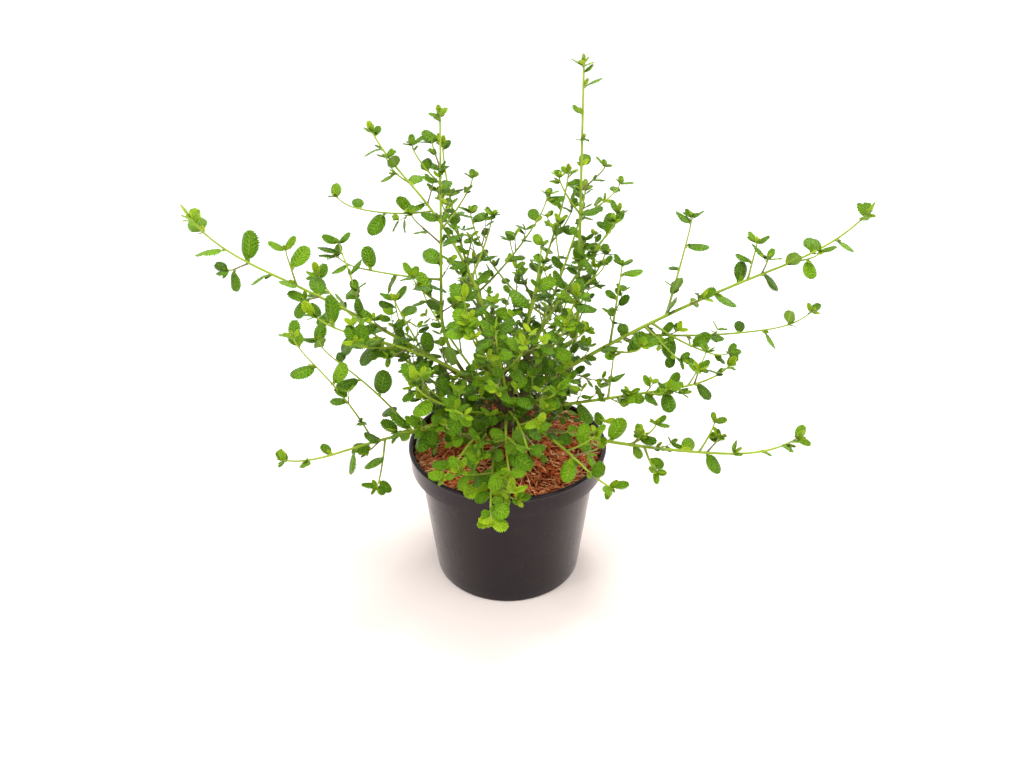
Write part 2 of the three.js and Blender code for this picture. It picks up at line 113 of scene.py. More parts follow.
# Each shoot: name, aim, rise, length, bend, turn, bare share, its side shoots as (share of the
# length, aim, rise, length, bend), and the share taken by the bending, 1 if not given. Angles are
# in degrees: an aim goes round Z from +X, a rise goes up from level, and up to the tip the bend adds
# to the rise and the turn to the aim.
SHOOTS = [
    ("left_long", 170, 34, 288, -8, 15, 0.22,
     [(0.3, 215, 10, 58, 20), (0.47, 120, 70, 66, -40), (0.67, 150, 75, 30, 0)]),
    ("left_mid", 188, 43, 170, -34, -4, 0.25, [(0.45, 140, 50, 52, 0), (0.6, 225, 10, 42, 20)]),
    ("left_back", 160, 6, 206, 25, -6, 0.28, [(0.45, 110, 30, 64, 15)], 0.4),
    ("left_low", 198, 5, 185, -15, 8, 0.3,
     [(0.42, 170, 54, 108, -22), (0.55, 262, -60, 42, 40), (0.6, 187, 69, 112, -20)]),
    ("left_tall", 123, 70, 240, -44, 28, 0.22,
     [(0.38, 60, 40, 56, 20), (0.65, 190, -6, 81, 30), (0.78, 156, 16, 28, 48)]),
    ("left_upright", 152, 20, 264, 72, 12, 0.2,
     [(0.42, 230, 35, 45, 20), (0.5, 166, -2, 92, 12), (0.66, 30, 40, 48, 20),
      (0.8, 200, 45, 38, 20)], 0.4),
    ("back_left", 108, 40, 222, 44, 36, 0.22, [(0.42, 11, 41, 106, 22), (0.65, 150, 50, 42, 20)]),
    ("back_mid", 81, 34, 209, 38, -43, 0.22, [(0.45, 130, 45, 56, 20), (0.7, 0, 50, 38, 20)]),
    ("back_right", 56, 42, 188, 26, -10, 0.25,
     [(0.4, 165, 30, 112, 45), (0.6, 100, 50, 42, 0), (0.88, 20, 16, 44, 30)]),
    ("tallest", 44, -6, 328, 97, -12, 0.18,
     [(0.42, 20, 45, 42, 20), (0.52, 330, 40, 48, 20), (0.64, 200, 50, 38, 15)], 0.35),
    ("right_up", 37, 60, 170, -22, -8, 0.25, [(0.5, 350, 30, 48, 20)]),
    ("right_long", 8, 34, 317, -13, -14, 0.18,
     [(0.28, 300, 10, 56, 25), (0.36, -8, -2, 146, 20), (0.4, -48, -25, 42, 0),
      (0.42, -32, -26, 70, 28), (0.46, 62, 50, 84, 8), (0.68, 60, 60, 30, 0),
      (0.8, 300, 20, 28, 20), (0.3, 60, 76, 66, 0)]),
    ("right_mid", -18, 18, 190, 4, -4, 0.25,
     [(0.45, 75, 50, 34, 10), (0.62, 290, 20, 38, 20), (0.8, 40, 40, 30, 20)]),
    ("right_low", -34, 3, 242, 12, 12, 0.25,
     [(0.45, 325, 40, 34, 20), (0.5, 280, -20, 30, 20), (0.68, 30, 50, 26, 20)]),
    ("right_front", -56, 14, 122, -42, 10, 0.25, [(0.6, 340, 30, 32, 20)]),
    ("front_low", 255, 5, 112, -42, 18, 0.25, [(0.6, 215, 10, 34, 20), (0.7, 310, 5, 30, 20)]),
    ("front_mid", 284, 22, 78, -34, -6, 0, [(0.5, 330, 30, 32, 20)]),
    ("front_left", 225, 18, 108, 28, -15, 0, [(0.45, 265, 20, 40, 20), (0.5, 175, 30, 36, 20)]),
    ("front_right", 305, 32, 76, 0, 0, 0, [(0.5, 350, 30, 34, 10)]),
    ("rear_right", 68, 8, 150, 30, -8, 0.3, [(0.45, 20, 30, 46, 20), (0.6, 110, 40, 42, 20)]),
    ("rear_mid", 98, 16, 165, 22, 10, 0.3, [(0.5, 60, 30, 46, 20), (0.6, 140, 40, 42, 20)]),
    ("rear_left", 120, 12, 150, 28, 14, 0.3, [(0.5, 100, 40, 46, 20)]),
    ("inner_left", 210, 62, 100, 10, 20, 0, [(0.5, 250, 40, 42, 20)]),
    ("inner_right", 335, 55, 110, 10, 10, 0, [(0.45, 300, 40, 48, 20), (0.6, 20, 50, 38, 20)]),
    ("inner_front", 265, 50, 100, 15, -10, 0, [(0.5, 310, 40, 44, 20), (0.55, 215, 40, 42, 20)]),
    ("inner_top", 15, 74, 120, 8, 10, 0, [(0.5, 60, 50, 44, 20)]),
    ("front_short", 266, 16, 84, -40, 10, 0, [(0.5, 305, -5, 28, 10), (0.55, 220, 10, 28, 10)]),
    ("front_rim", 238, 14, 98, -38, 8, 0, [(0.45, 190, 10, 34, 10), (0.6, 290, 0, 26, 10)]),
    ("left_rim", 205, 14, 96, -24, 4, 0, [(0.45, 170, 20, 34, 10), (0.6, 240, 10, 30, 10)]),
]

UP = np.array([0.0, 0.0, 1.0])
TINY = 1e-3


# ---- Small helpers ----

def chance(a, b, c):
    """A number from 0 to 1 that is always the same for the same three keys."""
    wave = math.sin(a * 12.9898 + b * 78.233 + c * 37.719) * 43758.5453
    return wave - math.floor(wave)


def vary(low, span, a, b, c):
    """A number from low to low + span, by the same three keys."""
    return low + span * chance(a, b, c)


def clip(value, low=0, high=1):
    return min(max(value, low), high)


def mix(a, b, share):
    return a + (b - a) * share


def unit(v):
    return v / math.sqrt(float(v @ v))


def level_side(way):
    """A level direction across a way."""
    side = np.cross(way, UP)
    return unit(side) if side @ side > TINY else np.array([1.0, 0, 0])


def directions(aims, rises):
    """Unit vectors from their angles round Z and up, in radians."""
    return np.stack([np.cos(rises) * np.cos(aims), np.cos(rises) * np.sin(aims), np.sin(rises)], -1)


def circle(count):
    return np.arange(count) * math.tau / count


# ---- Stems and leaves, by the solids' rule ----

class Stem:
    """Points along a bent line, its length, and its radius at both ends."""

    def __init__(self, start, aim, rise, length, bend, turn, by, root, tip):
        share = (np.arange(STEM_POINTS) + 0.5) / STEM_POINTS
        lift = STEM_LIFT * max(0.0, math.cos(math.radians(rise + bend)))
        bent = np.minimum(1.0, share / by)
        lifted = np.clip((share - STEM_LIFT_FROM) / (1 - STEM_LIFT_FROM), 0, 1) ** 2
        rises = np.radians(rise + bend * bent + lift * lifted)
        ways = directions(np.radians(aim + turn * bent), rises)
        self.points = np.vstack([start, start + np.cumsum(ways * (length / STEM_POINTS), 0)])
        self.length, self.root, self.tip = length, root, tip

    def step(self, share):
        """The two points round a share of the length, and how far between them it is."""
        place = clip(share) * STEM_POINTS
        i = min(int(place), STEM_POINTS - 1)
        return self.points[i], self.points[i + 1], place - i

    def at(self, share):
        return mix(*self.step(share))

    def way(self, share):
        start, end, _ = self.step(share)
        return unit(end - start)

    def radius(self, share):
        return mix(self.root, self.tip, share)

    def nodes(self, start, end, first=0, every=1):
        """The number of each leaf node between two shares of the length, and its own share."""
        for k in itertools.count(first, every):
            share = (start * self.length + LEAF_SPACING * 0.5 + k * LEAF_SPACING) / self.length
            if share > end:
                return
            yield k, share


class Shoot:
    """A main stem, the share of it that is a bare bough, and its side stems."""

    def __init__(self, number, name, aim, rise, length, bend, turn, bough, sides, by=1):
        self.id, self.name, self.bough = number, name, bough
        out = np.array([math.cos(math.radians(aim)), math.sin(math.radians(aim)), 0])
        height = TRUNK_LOWEST + TRUNK_SPREAD * clip(rise / TRUNK_STEEPEST)
        start = out * (TRUNK_RADIUS - STEM_SUNK) + UP * (FOOT_Z + height)
        root = STEM_ROOT + STEM_THICKEN * length
        self.main = Stem(start, aim, rise, length, bend, turn, by, root, STEM_TIP)
        self.sides = []
        for at, *course in sides:
            root = min(self.main.radius(at) * SIDE_THIN, STEM_ROOT)
            self.sides.append(Stem(self.main.at(at), *course, 0, 1, root, STEM_TIP * SIDE_THIN))


def outward(stem, share, around, spread):
    """The way in which a leaf or twig leaves a stem: `around` it, and `spread` from its own way."""
    way = stem.way(share)
    level = level_side(way)
    a, s = math.radians(around), math.radians(spread)
    out = level * math.cos(a) + np.cross(level, way) * math.sin(a)
    return unit(way * math.cos(s) + out * math.sin(s))


def fork(stem, share, around, spread, length, bend, root, tip):
    """A finer stem that leaves another one as a leaf would."""
    way = outward(stem, share, around, spread)
    aim, rise = math.degrees(math.atan2(way[1], way[0])), math.degrees(math.asin(way[2]))
    return Stem(stem.at(share), aim, rise, length, bend, 0, 1, root, tip)


LEAF_PROBES = np.array([[0.6, 0.28], [0.6, -0.28], [0.6, 0], [0.85, 0.2], [0.85, -0.2], [0.98, 0]])


class Leaf:
    """A leaf or bud: its root, way, face and length."""

    def __init__(self, stem, share, around, spread, length, seed, sunward=LEAF_SUNWARD,
                 size="medium", tint=0):
        along, way = stem.way(share), outward(stem, share, around, spread)
        face = UP + along * LEAF_LEAN
        face[0] += (chance(seed, 5, 1) - 0.5) * LEAF_TUMBLE
        face[1] += (chance(seed, 6, 2) - 0.5) * LEAF_TUMBLE - sunward
        face = face - way * (face @ way)
        if face @ face < TINY:
            face = along - way * (along @ way)
        self.root, self.way, self.face, self.length = stem.at(share), way, unit(face), length
        self.size, self.tint, self.stem_radius = size, tint, stem.radius(share)

    def at(self, share):
        return self.root + self.way * self.length * share

    def probes(self):
        """Points spread over the blade."""
        side = np.cross(self.face, self.way)
        probes = LEAF_PROBES * self.length
        return self.root + probes[:, :1] * self.way + probes[:, 1:] * side


def leaves_along(stem, start, seed):
    """A large leaf at each node."""
    leaves = []
    for k, share in stem.nodes(start, LEAF_END):
        key = seed + k * 0.37
        length = LEAF_LENGTH * (1 + LEAF_VARY * (chance(key, 1, 1) * 2 - 1))
        spread = LEAF_SPREAD + 20 * (chance(key, 2, 2) - 0.5)
        around = seed * 50 + k * LEAF_SPIRAL
        leaves.append(Leaf(stem, share, around, spread, length, key, size="large"))
    return leaves


def leaves_at_tip(stem, seed, turns):
    return [Leaf(stem, 0.975 + 0.012 * i, around, 14 if i == 2 else 48,
                 LEAF_TIP * vary(0.85, 0.3, seed, i, 4), seed + i) for i, around in enumerate(turns)]


def twigs_along(stem, start, seed):
    twigs = []
    for k, share in stem.nodes(start, TWIG_END, TWIG_FIRST, TWIG_EVERY):
        reach = max(TWIG_OUTER, TWIG_INNER - TWIG_FADE * math.hypot(*stem.at(share)[:2]))
        length = reach * vary(0.8, 0.4, seed, k, 7)
        around = seed * 50 + k * LEAF_SPIRAL + 180
        twigs.append(fork(stem, share, around, TWIG_SPREAD, length, 0, TWIG_RADIUS, TWIG_RADIUS * 0.8))
    return twigs


# ---- The space that each mass keeps to ----

def distances(points, run):
    """How far each point is from a run of points."""
    a, b = run[:-1], run[1:]
    ab = b - a
    t = ((points[:, None] - a) * ab).sum(-1) / (ab ** 2).sum(-1)
    foot = a + ab * np.clip(t, 0, 1)[..., None]
    return np.sqrt(((points[:, None] - foot) ** 2).sum(-1)).min(-1)


def mulch_height(radius):
    share = np.clip((radius - MULCH_SEAT) / (POT_INNER - MULCH_SEAT), 0, 1)
    return mix(MULCH_CROWN, MULCH_EDGE_Z, share * share * (3 - 2 * share))


def clear_of_limbs(points, shoots):
    radius = np.hypot(points[:, 0], points[:, 1])
    ground = np.where(radius < POT_INNER, mulch_height(radius) + CLEAR_MULCH, POT_HEIGHT)
    clear = (radius > POT_RIM + CLEAR_LIMB) | (points[:, 2] > ground + CLEAR_LIMB)
    above = points[:, 2] > FOOT_Z + TRUNK_HEIGHT + CLEAR_LIMB
    clear &= (radius > TRUNK_RADIUS + CLEAR_LIMB) | above
    for shoot in shoots:
        if shoot.bough > 0:
            limb = shoot.main.points[:math.ceil(shoot.bough * STEM_POINTS) + 1]
            clear &= distances(points, limb) > shoot.main.root + CLEAR_LIMB
    return clear


def fit_in_space(groups, owners, shoots):
    """True for each group of points that stays in its owner's space and clear of the limbs."""
    counts = [len(group) for group in groups]
    points = np.concatenate(groups)
    near = np.stack([np.min([distances(points, stem.points) for stem in (shoot.main, *shoot.sides)], 0)
                     for shoot in shoots], -1)
    own_cells = np.arange(len(points)), np.repeat(owners, counts)
    own = near[own_cells]
    near[own_cells] = np.inf
    good = clear_of_limbs(points, shoots) & (near.min(-1) > np.maximum(own - MINGLE, CLEAR_STEM))
    return np.logical_and.reduceat(good, np.cumsum(counts) - counts)


def spaced(leaves, groups, fits):
    """The leaves that fit, and whose probes keep their distance from the ones before them."""
    spots, kept = {}, []
    for leaf, points, good in zip(leaves, groups, fits):
        cells = [tuple(int(v) for v in np.floor(point / CROWD_CELL)) for point in points]
        near = ((point, spot) for point, cell in zip(points, cells)
                for key in itertools.product(*((v - 1, v, v + 1) for v in cell))
                for spot in spots.get(key, ()))
        if good and all(math.dist(*pair) >= BLADE_GAP for pair in near):
            kept.append(leaf)
            for point, cell in zip(points, cells):
                spots.setdefault(cell, []).append(point)
    return kept


# ---- What grows finer than the solids ----

MAIN, SIDE, TWIG, SPRIG = range(4)  # the rank of a spray

SPRIG_INNER = 26.0  # length of a sprig near the middle ...
SPRIG_OUTER = 9.0  # ... and at the ends of long shoots
SPRIG_FADE = 0.1
SPRIG_RADIUS = 0.5
SPRIG_TIP = SPRIG_RADIUS * 0.7
SPRIG_SPACING = 8.5
SPRIG_SPREAD = 42
SPRIG_BEND = 18
SPRIG_LEAF = 12.6
SPRIG_END = 0.9
SPRIG_THINS = 180.0  # how far from the foot the last sprigs at nodes are ...
SPRIG_CROWD = 115.0  # ... and those between nodes
SPRIG_LOWEST = 176.0  # height under which none grow between nodes ...
MULCH_SHOWS = 52.0  # ... this far to both sides, so the mulch shows
LIMB_SPRIG = 3.8  # from one sprig to the next on a bare limb
LIMB_SPRIG_LENGTH = 30.0
LIMB_SPRIG_SPREAD = 58
LIMB_SPRIG_BEND = 25
FINE_SUNWARD = 0.5  # how far the fine leaves' faces lean to the front
CLOSE_SPACING = 7.0  # from one close-set leaf to the next
CLOSE_FIRST = 8
CLOSE_END = 0.97
CLOSE_LEAF = 15.0
CLUSTERS = ("front_low", "left_rim")  # shoots with close-set leaves
TIP_TURNS = ((10, 170, 90), (20, 200), (0, 180))  # leaves at the tip of each rank but a sprig
TIP_LEAF = 0.7  # how large the leaf at a stem's very end is, against its neighbours
TUFT_LEAF = 5.6
ROSETTE_LEAF = 9.5
ROSETTE_LEAVES = 5
ROSETTE_TINTS = (1, 2, 2, 3, 3)  # how much brighter each of its leaves is
BUD_LENGTH = 2.6
BLADE_GAP = 2.6  # least distance between two blades' probes
CROWD_CELL = 4.0
SIZES = (1.18, 1.0, 0.88, 1.05)  # how large the leaves of each rank are
LONGEST_LEAF = 24.0
REACH = 270.0  # how far from the short stem the brightest sprays are

# Places between the shoots where nothing fine grows: both ends of each, and its radius.
OPENINGS = [
    ((-37, -30, 230), (-44, 75, 176), 17),
    ((23, -48, 137), (20, -100, 172), 22),
]

# Each tint of leaf, from the darkest: the blade and its veins, as they look on a screen.
LEAF_PAINTS = {
    "deep": ((64, 112, 4), (126, 164, 46)),
    "dark": ((87, 139, 6), (150, 182, 56)),
    "mature": ((113, 165, 8), (172, 202, 66)),
    "bright": ((146, 191, 12), (192, 216, 74)),
    "fresh": ((173, 210, 20), (208, 226, 84)),
    "new": ((198, 225, 34), (216, 232, 96)),
}
NEW = len(LEAF_PAINTS) - 1


def from_foot(place):
    return math.dist(place, UP * (FOOT_Z + TRUNK_HEIGHT * 0.5))


def vigour(place):
    """How large the leaves are: larger to the left and in front, smaller low down and high up."""
    x, y, z = place
    middle = clip((z - 150) / 100, -1) - 2.5 * clip((z - 300) / 90)
    low = clip((230 - z) / 70) * clip((abs(x) - 80) / 60)
    inner = clip((100 - math.hypot(x, y)) / 40) * clip((z - 150) / 40)
    size = 0.79 + 0.15 * clip(-x / 120, -0.3) - max(y, -20) / 600 + 0.11 * middle - 0.28 * low
    return clip(size - 0.06 * inner, 0.6, 1.05)


def in_opening(points):
    inside = np.zeros(len(points), bool)
    for start, end, radius in OPENINGS:
        inside |= distances(points, np.array([start, end], float)) < radius
    return inside


def hides_mulch(root, seed):
    """True for most sprigs low down in front, where the mulch shows between the stems."""
    return root[2] < SPRIG_LOWEST and root[1] < -20 and chance(seed, 1, 59) > 0.25


class Spray:
    """A stem with what grows on it: a main stem, a side stem, a twig or a sprig."""

    def __init__(self, shoot, stem, start, seed, rank):
        self.shoot, self.stem, self.start, self.seed, self.rank = shoot, stem, start, seed, rank

    def tint(self, share):
        """Leaves are darker near the foot, and brighter in front and towards the shoot's end: young growth
        at the end, painted shade inside the crown near the foot, and painted light on the front.
        """
        place = self.stem.at(share)
        out = from_foot(place) / REACH
        left = math.dist(place, self.shoot.main.at(1)) / self.shoot.main.length
        near = clip(-place[1] / 90) * clip(1.6 - abs(place[0]) / 80)
        # Painted shade and light: the level falls towards the foot inside the crown and rises on the front.
        level = 0.75 + 0.6 * out + 0.5 * max(0, 1 - left) + 1.3 * near
        level += 1.5 * (chance(self.seed, 3, 9) - 0.5) + 1.8 * (chance(self.seed, share, 53) - 0.5)
        return int(clip(level, 0, NEW - 1))

    def nodes(self):
        """The shares of its length at which its nodes are."""
        spacing = SPRIG_SPACING if self.rank == SPRIG else LEAF_SPACING
        first = self.start * self.stem.length + spacing * 0.5
        return np.arange(first, self.stem.length * LEAF_END, spacing) / self.stem.length


def sprig_stems(spray):
    """Fine side twigs: near the foot also between the nodes, further out at ever fewer of them."""
    sprigs = []
    stem, seed = spray.stem, spray.seed
    every = 1 if spray.rank == MAIN else 2
    for k, share in stem.nodes(spray.start, SPRIG_END, 0, 0.5):
        root = stem.at(share)
        has_twig = spray.rank == MAIN and k >= TWIG_FIRST and (k - TWIG_FIRST) % TWIG_EVERY == 0
        between = k % every != 0
        reach = SPRIG_CROWD if between else SPRIG_THINS
        low = root[2] < SPRIG_LOWEST and abs(root[0]) < MULCH_SHOWS
        too_low = between and low or hides_mulch(root, seed + k)
        if has_twig or too_low or chance(seed, k + 1, 47) > 1.25 - from_foot(root) / reach:
            continue
        longest = max(SPRIG_OUTER, SPRIG_INNER - SPRIG_FADE * math.hypot(root[0], root[1]))
        length = longest * vary(0.55, 0.6, seed, k + 1, 11)
        around = seed * 50 + (k + 1) * LEAF_SPIRAL + 25
        sprigs.append(fork(stem, share, around, SPRIG_SPREAD, length, SPRIG_BEND, SPRIG_RADIUS,
                           SPRIG_TIP))
    return sprigs


def limb_sprigs(shoot):
    """Leafy sprigs that grow straight from a bough."""
    sprigs = []
    stem = shoot.main
    for k in range(int(shoot.bough * stem.length // LIMB_SPRIG)):
        share = (k + 0.7) * LIMB_SPRIG / stem.length
        if hides_mulch(stem.at(share), shoot.id + k):
            continue
        length = LIMB_SPRIG_LENGTH * vary(0.55, 0.75, shoot.id, k, 43)
        around = shoot.id * 61 + k * LEAF_SPIRAL
        sprigs.append(fork(stem, share, around, LIMB_SPRIG_SPREAD, length, LIMB_SPRIG_BEND,
                           SPRIG_RADIUS * 1.2, SPRIG_TIP))
    return sprigs


def sprig_leaves(stem, seed):
    total = max(1, int(stem.length // SPRIG_SPACING))
    return [Leaf(stem, (k + 0.8) / (total + 0.4), seed * 40 + k * LEAF_SPIRAL,
                 55 + 20 * (chance(seed, k, 17) - 0.5), SPRIG_LEAF * vary(0.75, 0.5, seed, k, 13),
                 seed + k * 0.61, FINE_SUNWARD) for k in range(total)]


def close_leaves(stem, start, seed):
    """Leaves set closely along a stem, between the ones at its nodes."""
    places = np.arange(start * stem.length + CLOSE_FIRST, stem.length * CLOSE_END, CLOSE_SPACING)
    return [Leaf(stem, at / stem.length, seed * 30 + k * LEAF_SPIRAL, vary(50, 20, seed, k, 67),
                 CLOSE_LEAF * vary(0.8, 0.4, seed, k, 61), seed + k * 0.43, FINE_SUNWARD)
            for k, at in enumerate(places)]


def sprays_of(shoot, shoots):
    """A shoot's stems, from the main one to its finest sprigs, where they fit in its space."""
    def ranked(rank, stems, start, seed, step):
        return [Spray(shoot, stem, start, seed + i * step, rank) for i, stem in enumerate(stems)]

    seed = shoot.id + 1
    large = ranked(MAIN, [shoot.main], max(shoot.bough, 0.12), seed, 0)
    large += ranked(SIDE, shoot.sides, 0.1, seed + 31, 31)
    fine = ranked(TWIG, twigs_along(shoot.main, shoot.bough, seed), 0.1, shoot.id + 64, 57)
    for spray in large:
        fine += ranked(SPRIG, sprig_stems(spray), 0, spray.seed + 3.3, 7.7)
    fine += ranked(SPRIG, limb_sprigs(shoot), 0, shoot.id + 5.5, 3.1)
    groups = [np.array([spray.stem.at(share) for share in (0.5, 0.75, 1)]) for spray in fine]
    good = fit_in_space(groups, [shoot.id] * len(groups), shoots)
    is_sprig = np.array([spray.rank == SPRIG for spray in fine])
    good &= ~(is_sprig & in_opening(np.array([group[-1] for group in groups])))
    return large + [spray for spray, fits in zip(fine, good) if fits]


def spray_leaves(spray):
    """The larger leaves of a spray, with their tints and the lengths that their places allow."""
    stem, seed = spray.stem, spray.seed
    if spray.rank == SPRIG:
        leaves = sprig_leaves(stem, seed)
    else:
        tip_seed = spray.shoot.id if spray.rank == MAIN else seed
        leaves = leaves_at_tip(stem, tip_seed, TIP_TURNS[spray.rank])
        leaves += leaves_along(stem, spray.start, seed)
        if spray.shoot.name in CLUSTERS:
            leaves += close_leaves(stem, spray.start, seed)
    for i, leaf in enumerate(leaves):
        leaf.length = min(leaf.length * SIZES[spray.rank] * vigour(leaf.root), LONGEST_LEAF)
        leaf.tint = spray.tint(math.dist(leaf.root, stem.points[0]) / stem.length)
        leaf.owner = spray.shoot.id
        if spray.rank == MAIN and i == 2:
            leaf.length *= TIP_LEAF
            leaf.tint = NEW - 1
    return leaves


def small_leaves(spray):
    """Tufts of tiny leaves at the nodes and a bright rosette at the stem's end, and the buds."""
    stem, seed = spray.stem, spray.seed
    leaves, buds = [], []
    for k, share in enumerate(spray.nodes()):
        axil = seed * 50 + k * LEAF_SPIRAL
        tuft = 0 if spray.rank == SPRIG else int(vary(0.9, 3.0, seed, k, 19))
        for i in range(tuft):
            around = axil + (i - (tuft - 1) / 2) * 50 + 40 * (chance(seed + i, k, 23) - 0.5)
            length = TUFT_LEAF * vary(0.7, 0.8, seed + i, k, 29)
            tint = min(NEW, spray.tint(share) + (3 if share > 0.5 and i > 0 else 1))
            leaves.append(Leaf(stem, share, around, vary(26, 34, seed + i, k, 31), length,
                               seed + k + i * 0.7, size="small", tint=tint))
        buds.append(Leaf(stem, share, axil + 8, 30, BUD_LENGTH, seed + k))
    for i in range(3 if spray.rank == SPRIG else ROSETTE_LEAVES):
        length = ROSETTE_LEAF * (1 - 0.15 * i) * vary(0.8, 0.4, seed, i, 37)
        leaves.append(Leaf(stem, 0.99 + 0.002 * i, seed * 70 + i * LEAF_SPIRAL, 64 - 11 * i, length,
                           seed + i * 1.3, size="small", tint=min(NEW, spray.tint(1) + ROSETTE_TINTS[i])))
    return leaves, buds


def grow(shoots):
    """All sprays, the leaves that fit, and the buds."""
    sprays = [spray for shoot in shoots for spray in sprays_of(shoot, shoots)]
    leaves = [leaf for spray in sprays for leaf in spray_leaves(spray)]
    groups = [leaf.probes() for leaf in leaves]
    fits = fit_in_space(groups, [leaf.owner for leaf in leaves], shoots)
    kept = spaced(leaves, groups, fits)
    tiny, buds = (sum(found, []) for found in zip(*map(small_leaves, sprays)))
    tips, middles = (np.array([leaf.at(share) for leaf in tiny]) for share in (1, 0.6))
    clear = clear_of_limbs(tips, shoots) & clear_of_limbs(middles, shoots) & ~in_opening(middles)
    return sprays, kept + [leaf for leaf, good in zip(tiny, clear) if good], buds


# ---- Meshes ----

class Form:
    """A closed mesh: points, quads and triangles, each point's place on its leaf or stem, and each
    face's material. One that is copied has X along it, Y across and Z out of its face."""

    def __init__(self, points, skin, places=None, slots=None):
        self.points, self.skin = points, skin
        self.places = np.zeros((len(points), 3)) if places is None else places
        self.slots = [np.zeros(len(kind), int) for kind in skin] if slots is None else slots

    def copies(self, roots, ways, faces, sizes):
        """A copy at each root. `sizes` gives its scale, or its scales along, across and out."""
        count = len(roots)
        at = self.points[None] * sizes.reshape(count, 1, -1)
        sides = np.cross(faces, ways)
        points = roots[:, None] + at[..., :1] * ways[:, None] + at[..., 1:2] * sides[:, None]
        points = points + at[..., 2:] * faces[:, None]
        first = (np.arange(count) * len(self.points))[:, None, None]
        skin = [(kind[None] + first).reshape(-1, kind.shape[1]) for kind in self.skin]
        return Form(points.reshape(-1, 3), skin, np.tile(self.places, (count, 1)),
                    [np.tile(slots, count) for slots in self.slots])


def join(name, forms):
    """One mesh of all the forms, in metres."""
    counts = [len(form.points) for form in forms]
    each = list(zip(forms, np.cumsum(counts) - counts))
    faces = [face for kind in (0, 1) for form, first in each for face in (form.skin[kind] + first).tolist()]
    slots = np.concatenate([form.slots[kind] for kind in (0, 1) for form in forms])
    places = np.concatenate([form.places for form in forms])
    mesh = bpy.data.meshes.new(name)
    mesh.from_pydata(np.concatenate([form.points for form in forms]) * MM, [], faces)
    mesh.polygons.foreach_set("material_index", slots.astype(np.int32))
    mesh.shade_smooth()
    place = mesh.attributes.new("place", "FLOAT_VECTOR", "POINT")
    place.data.foreach_set("vector", places.astype(np.float32).ravel())
    return mesh


def rings(rows, count):
    """Quads over `rows` rings of `count` points, and triangles to an apex at each end."""
    i = np.arange(rows - 1)[:, None] * count
    j = np.arange(count)
    k = (j + 1) % count
    quads = np.stack([i + j, i + k, i + count + k, i + count + j], -1).reshape(-1, 4)
    last = (rows - 1) * count
    low, high = np.full(count, rows * count), np.full(count, rows * count + 1)
    return quads, np.concatenate([np.stack([low, k, j], -1), np.stack([high, last + j, last + k], -1)])


def tube(points, radii, sides, relief=0, places=None):
    """A closed round limb along a run of points. `relief` adds to the radius at each ring point."""
    ways = np.gradient(points, axis=0)
    ways /= np.linalg.norm(ways, axis=1)[:, None]
    across = level_side(ways[0])
    frames = []
    for way in ways:
        across = unit(across - way * (across @ way))
        frames.append((across, np.cross(way, across)))
    a, b = np.array(frames).transpose(1, 0, 2)
    turn = circle(sides)
    out = np.cos(turn)[:, None] * a[:, None] + np.sin(turn)[:, None] * b[:, None]
    reach = radii[:, None] + np.broadcast_to(relief, (len(points), sides))
    ring = points[:, None] + reach[..., None] * out
    ends = [points[0] - ways[0] * radii[0] * 0.4, points[-1] + ways[-1] * radii[-1] * 0.8]
    return Form(np.concatenate([ring.reshape(-1, 3), ends]), rings(len(points), sides), places)


def turned(profile, sides, relief=0):
    """A closed surface turned about Z, from a profile that starts and ends on the axis."""
    profile = np.array(profile)
    radius, z = profile[1:-1, :1] + relief, profile[1:-1, 1:]
    ring = [radius * np.cos(circle(sides)), radius * np.sin(circle(sides)), z]
    ends = [[0, 0, profile[0, 1]], [0, 0, profile[-1, 1]]]
    points = np.stack(np.broadcast_arrays(*ring), -1).reshape(-1, 3)
    return Form(np.concatenate([points, ends]), rings(len(z), sides))


def arc(x, z, radius, start, end, steps):
    """Points of a profile round part of a circle, from one angle to another."""
    angles = np.radians(np.linspace(start, end, steps))
    return [[x + radius * math.cos(a), z + radius * math.sin(a)] for a in angles]


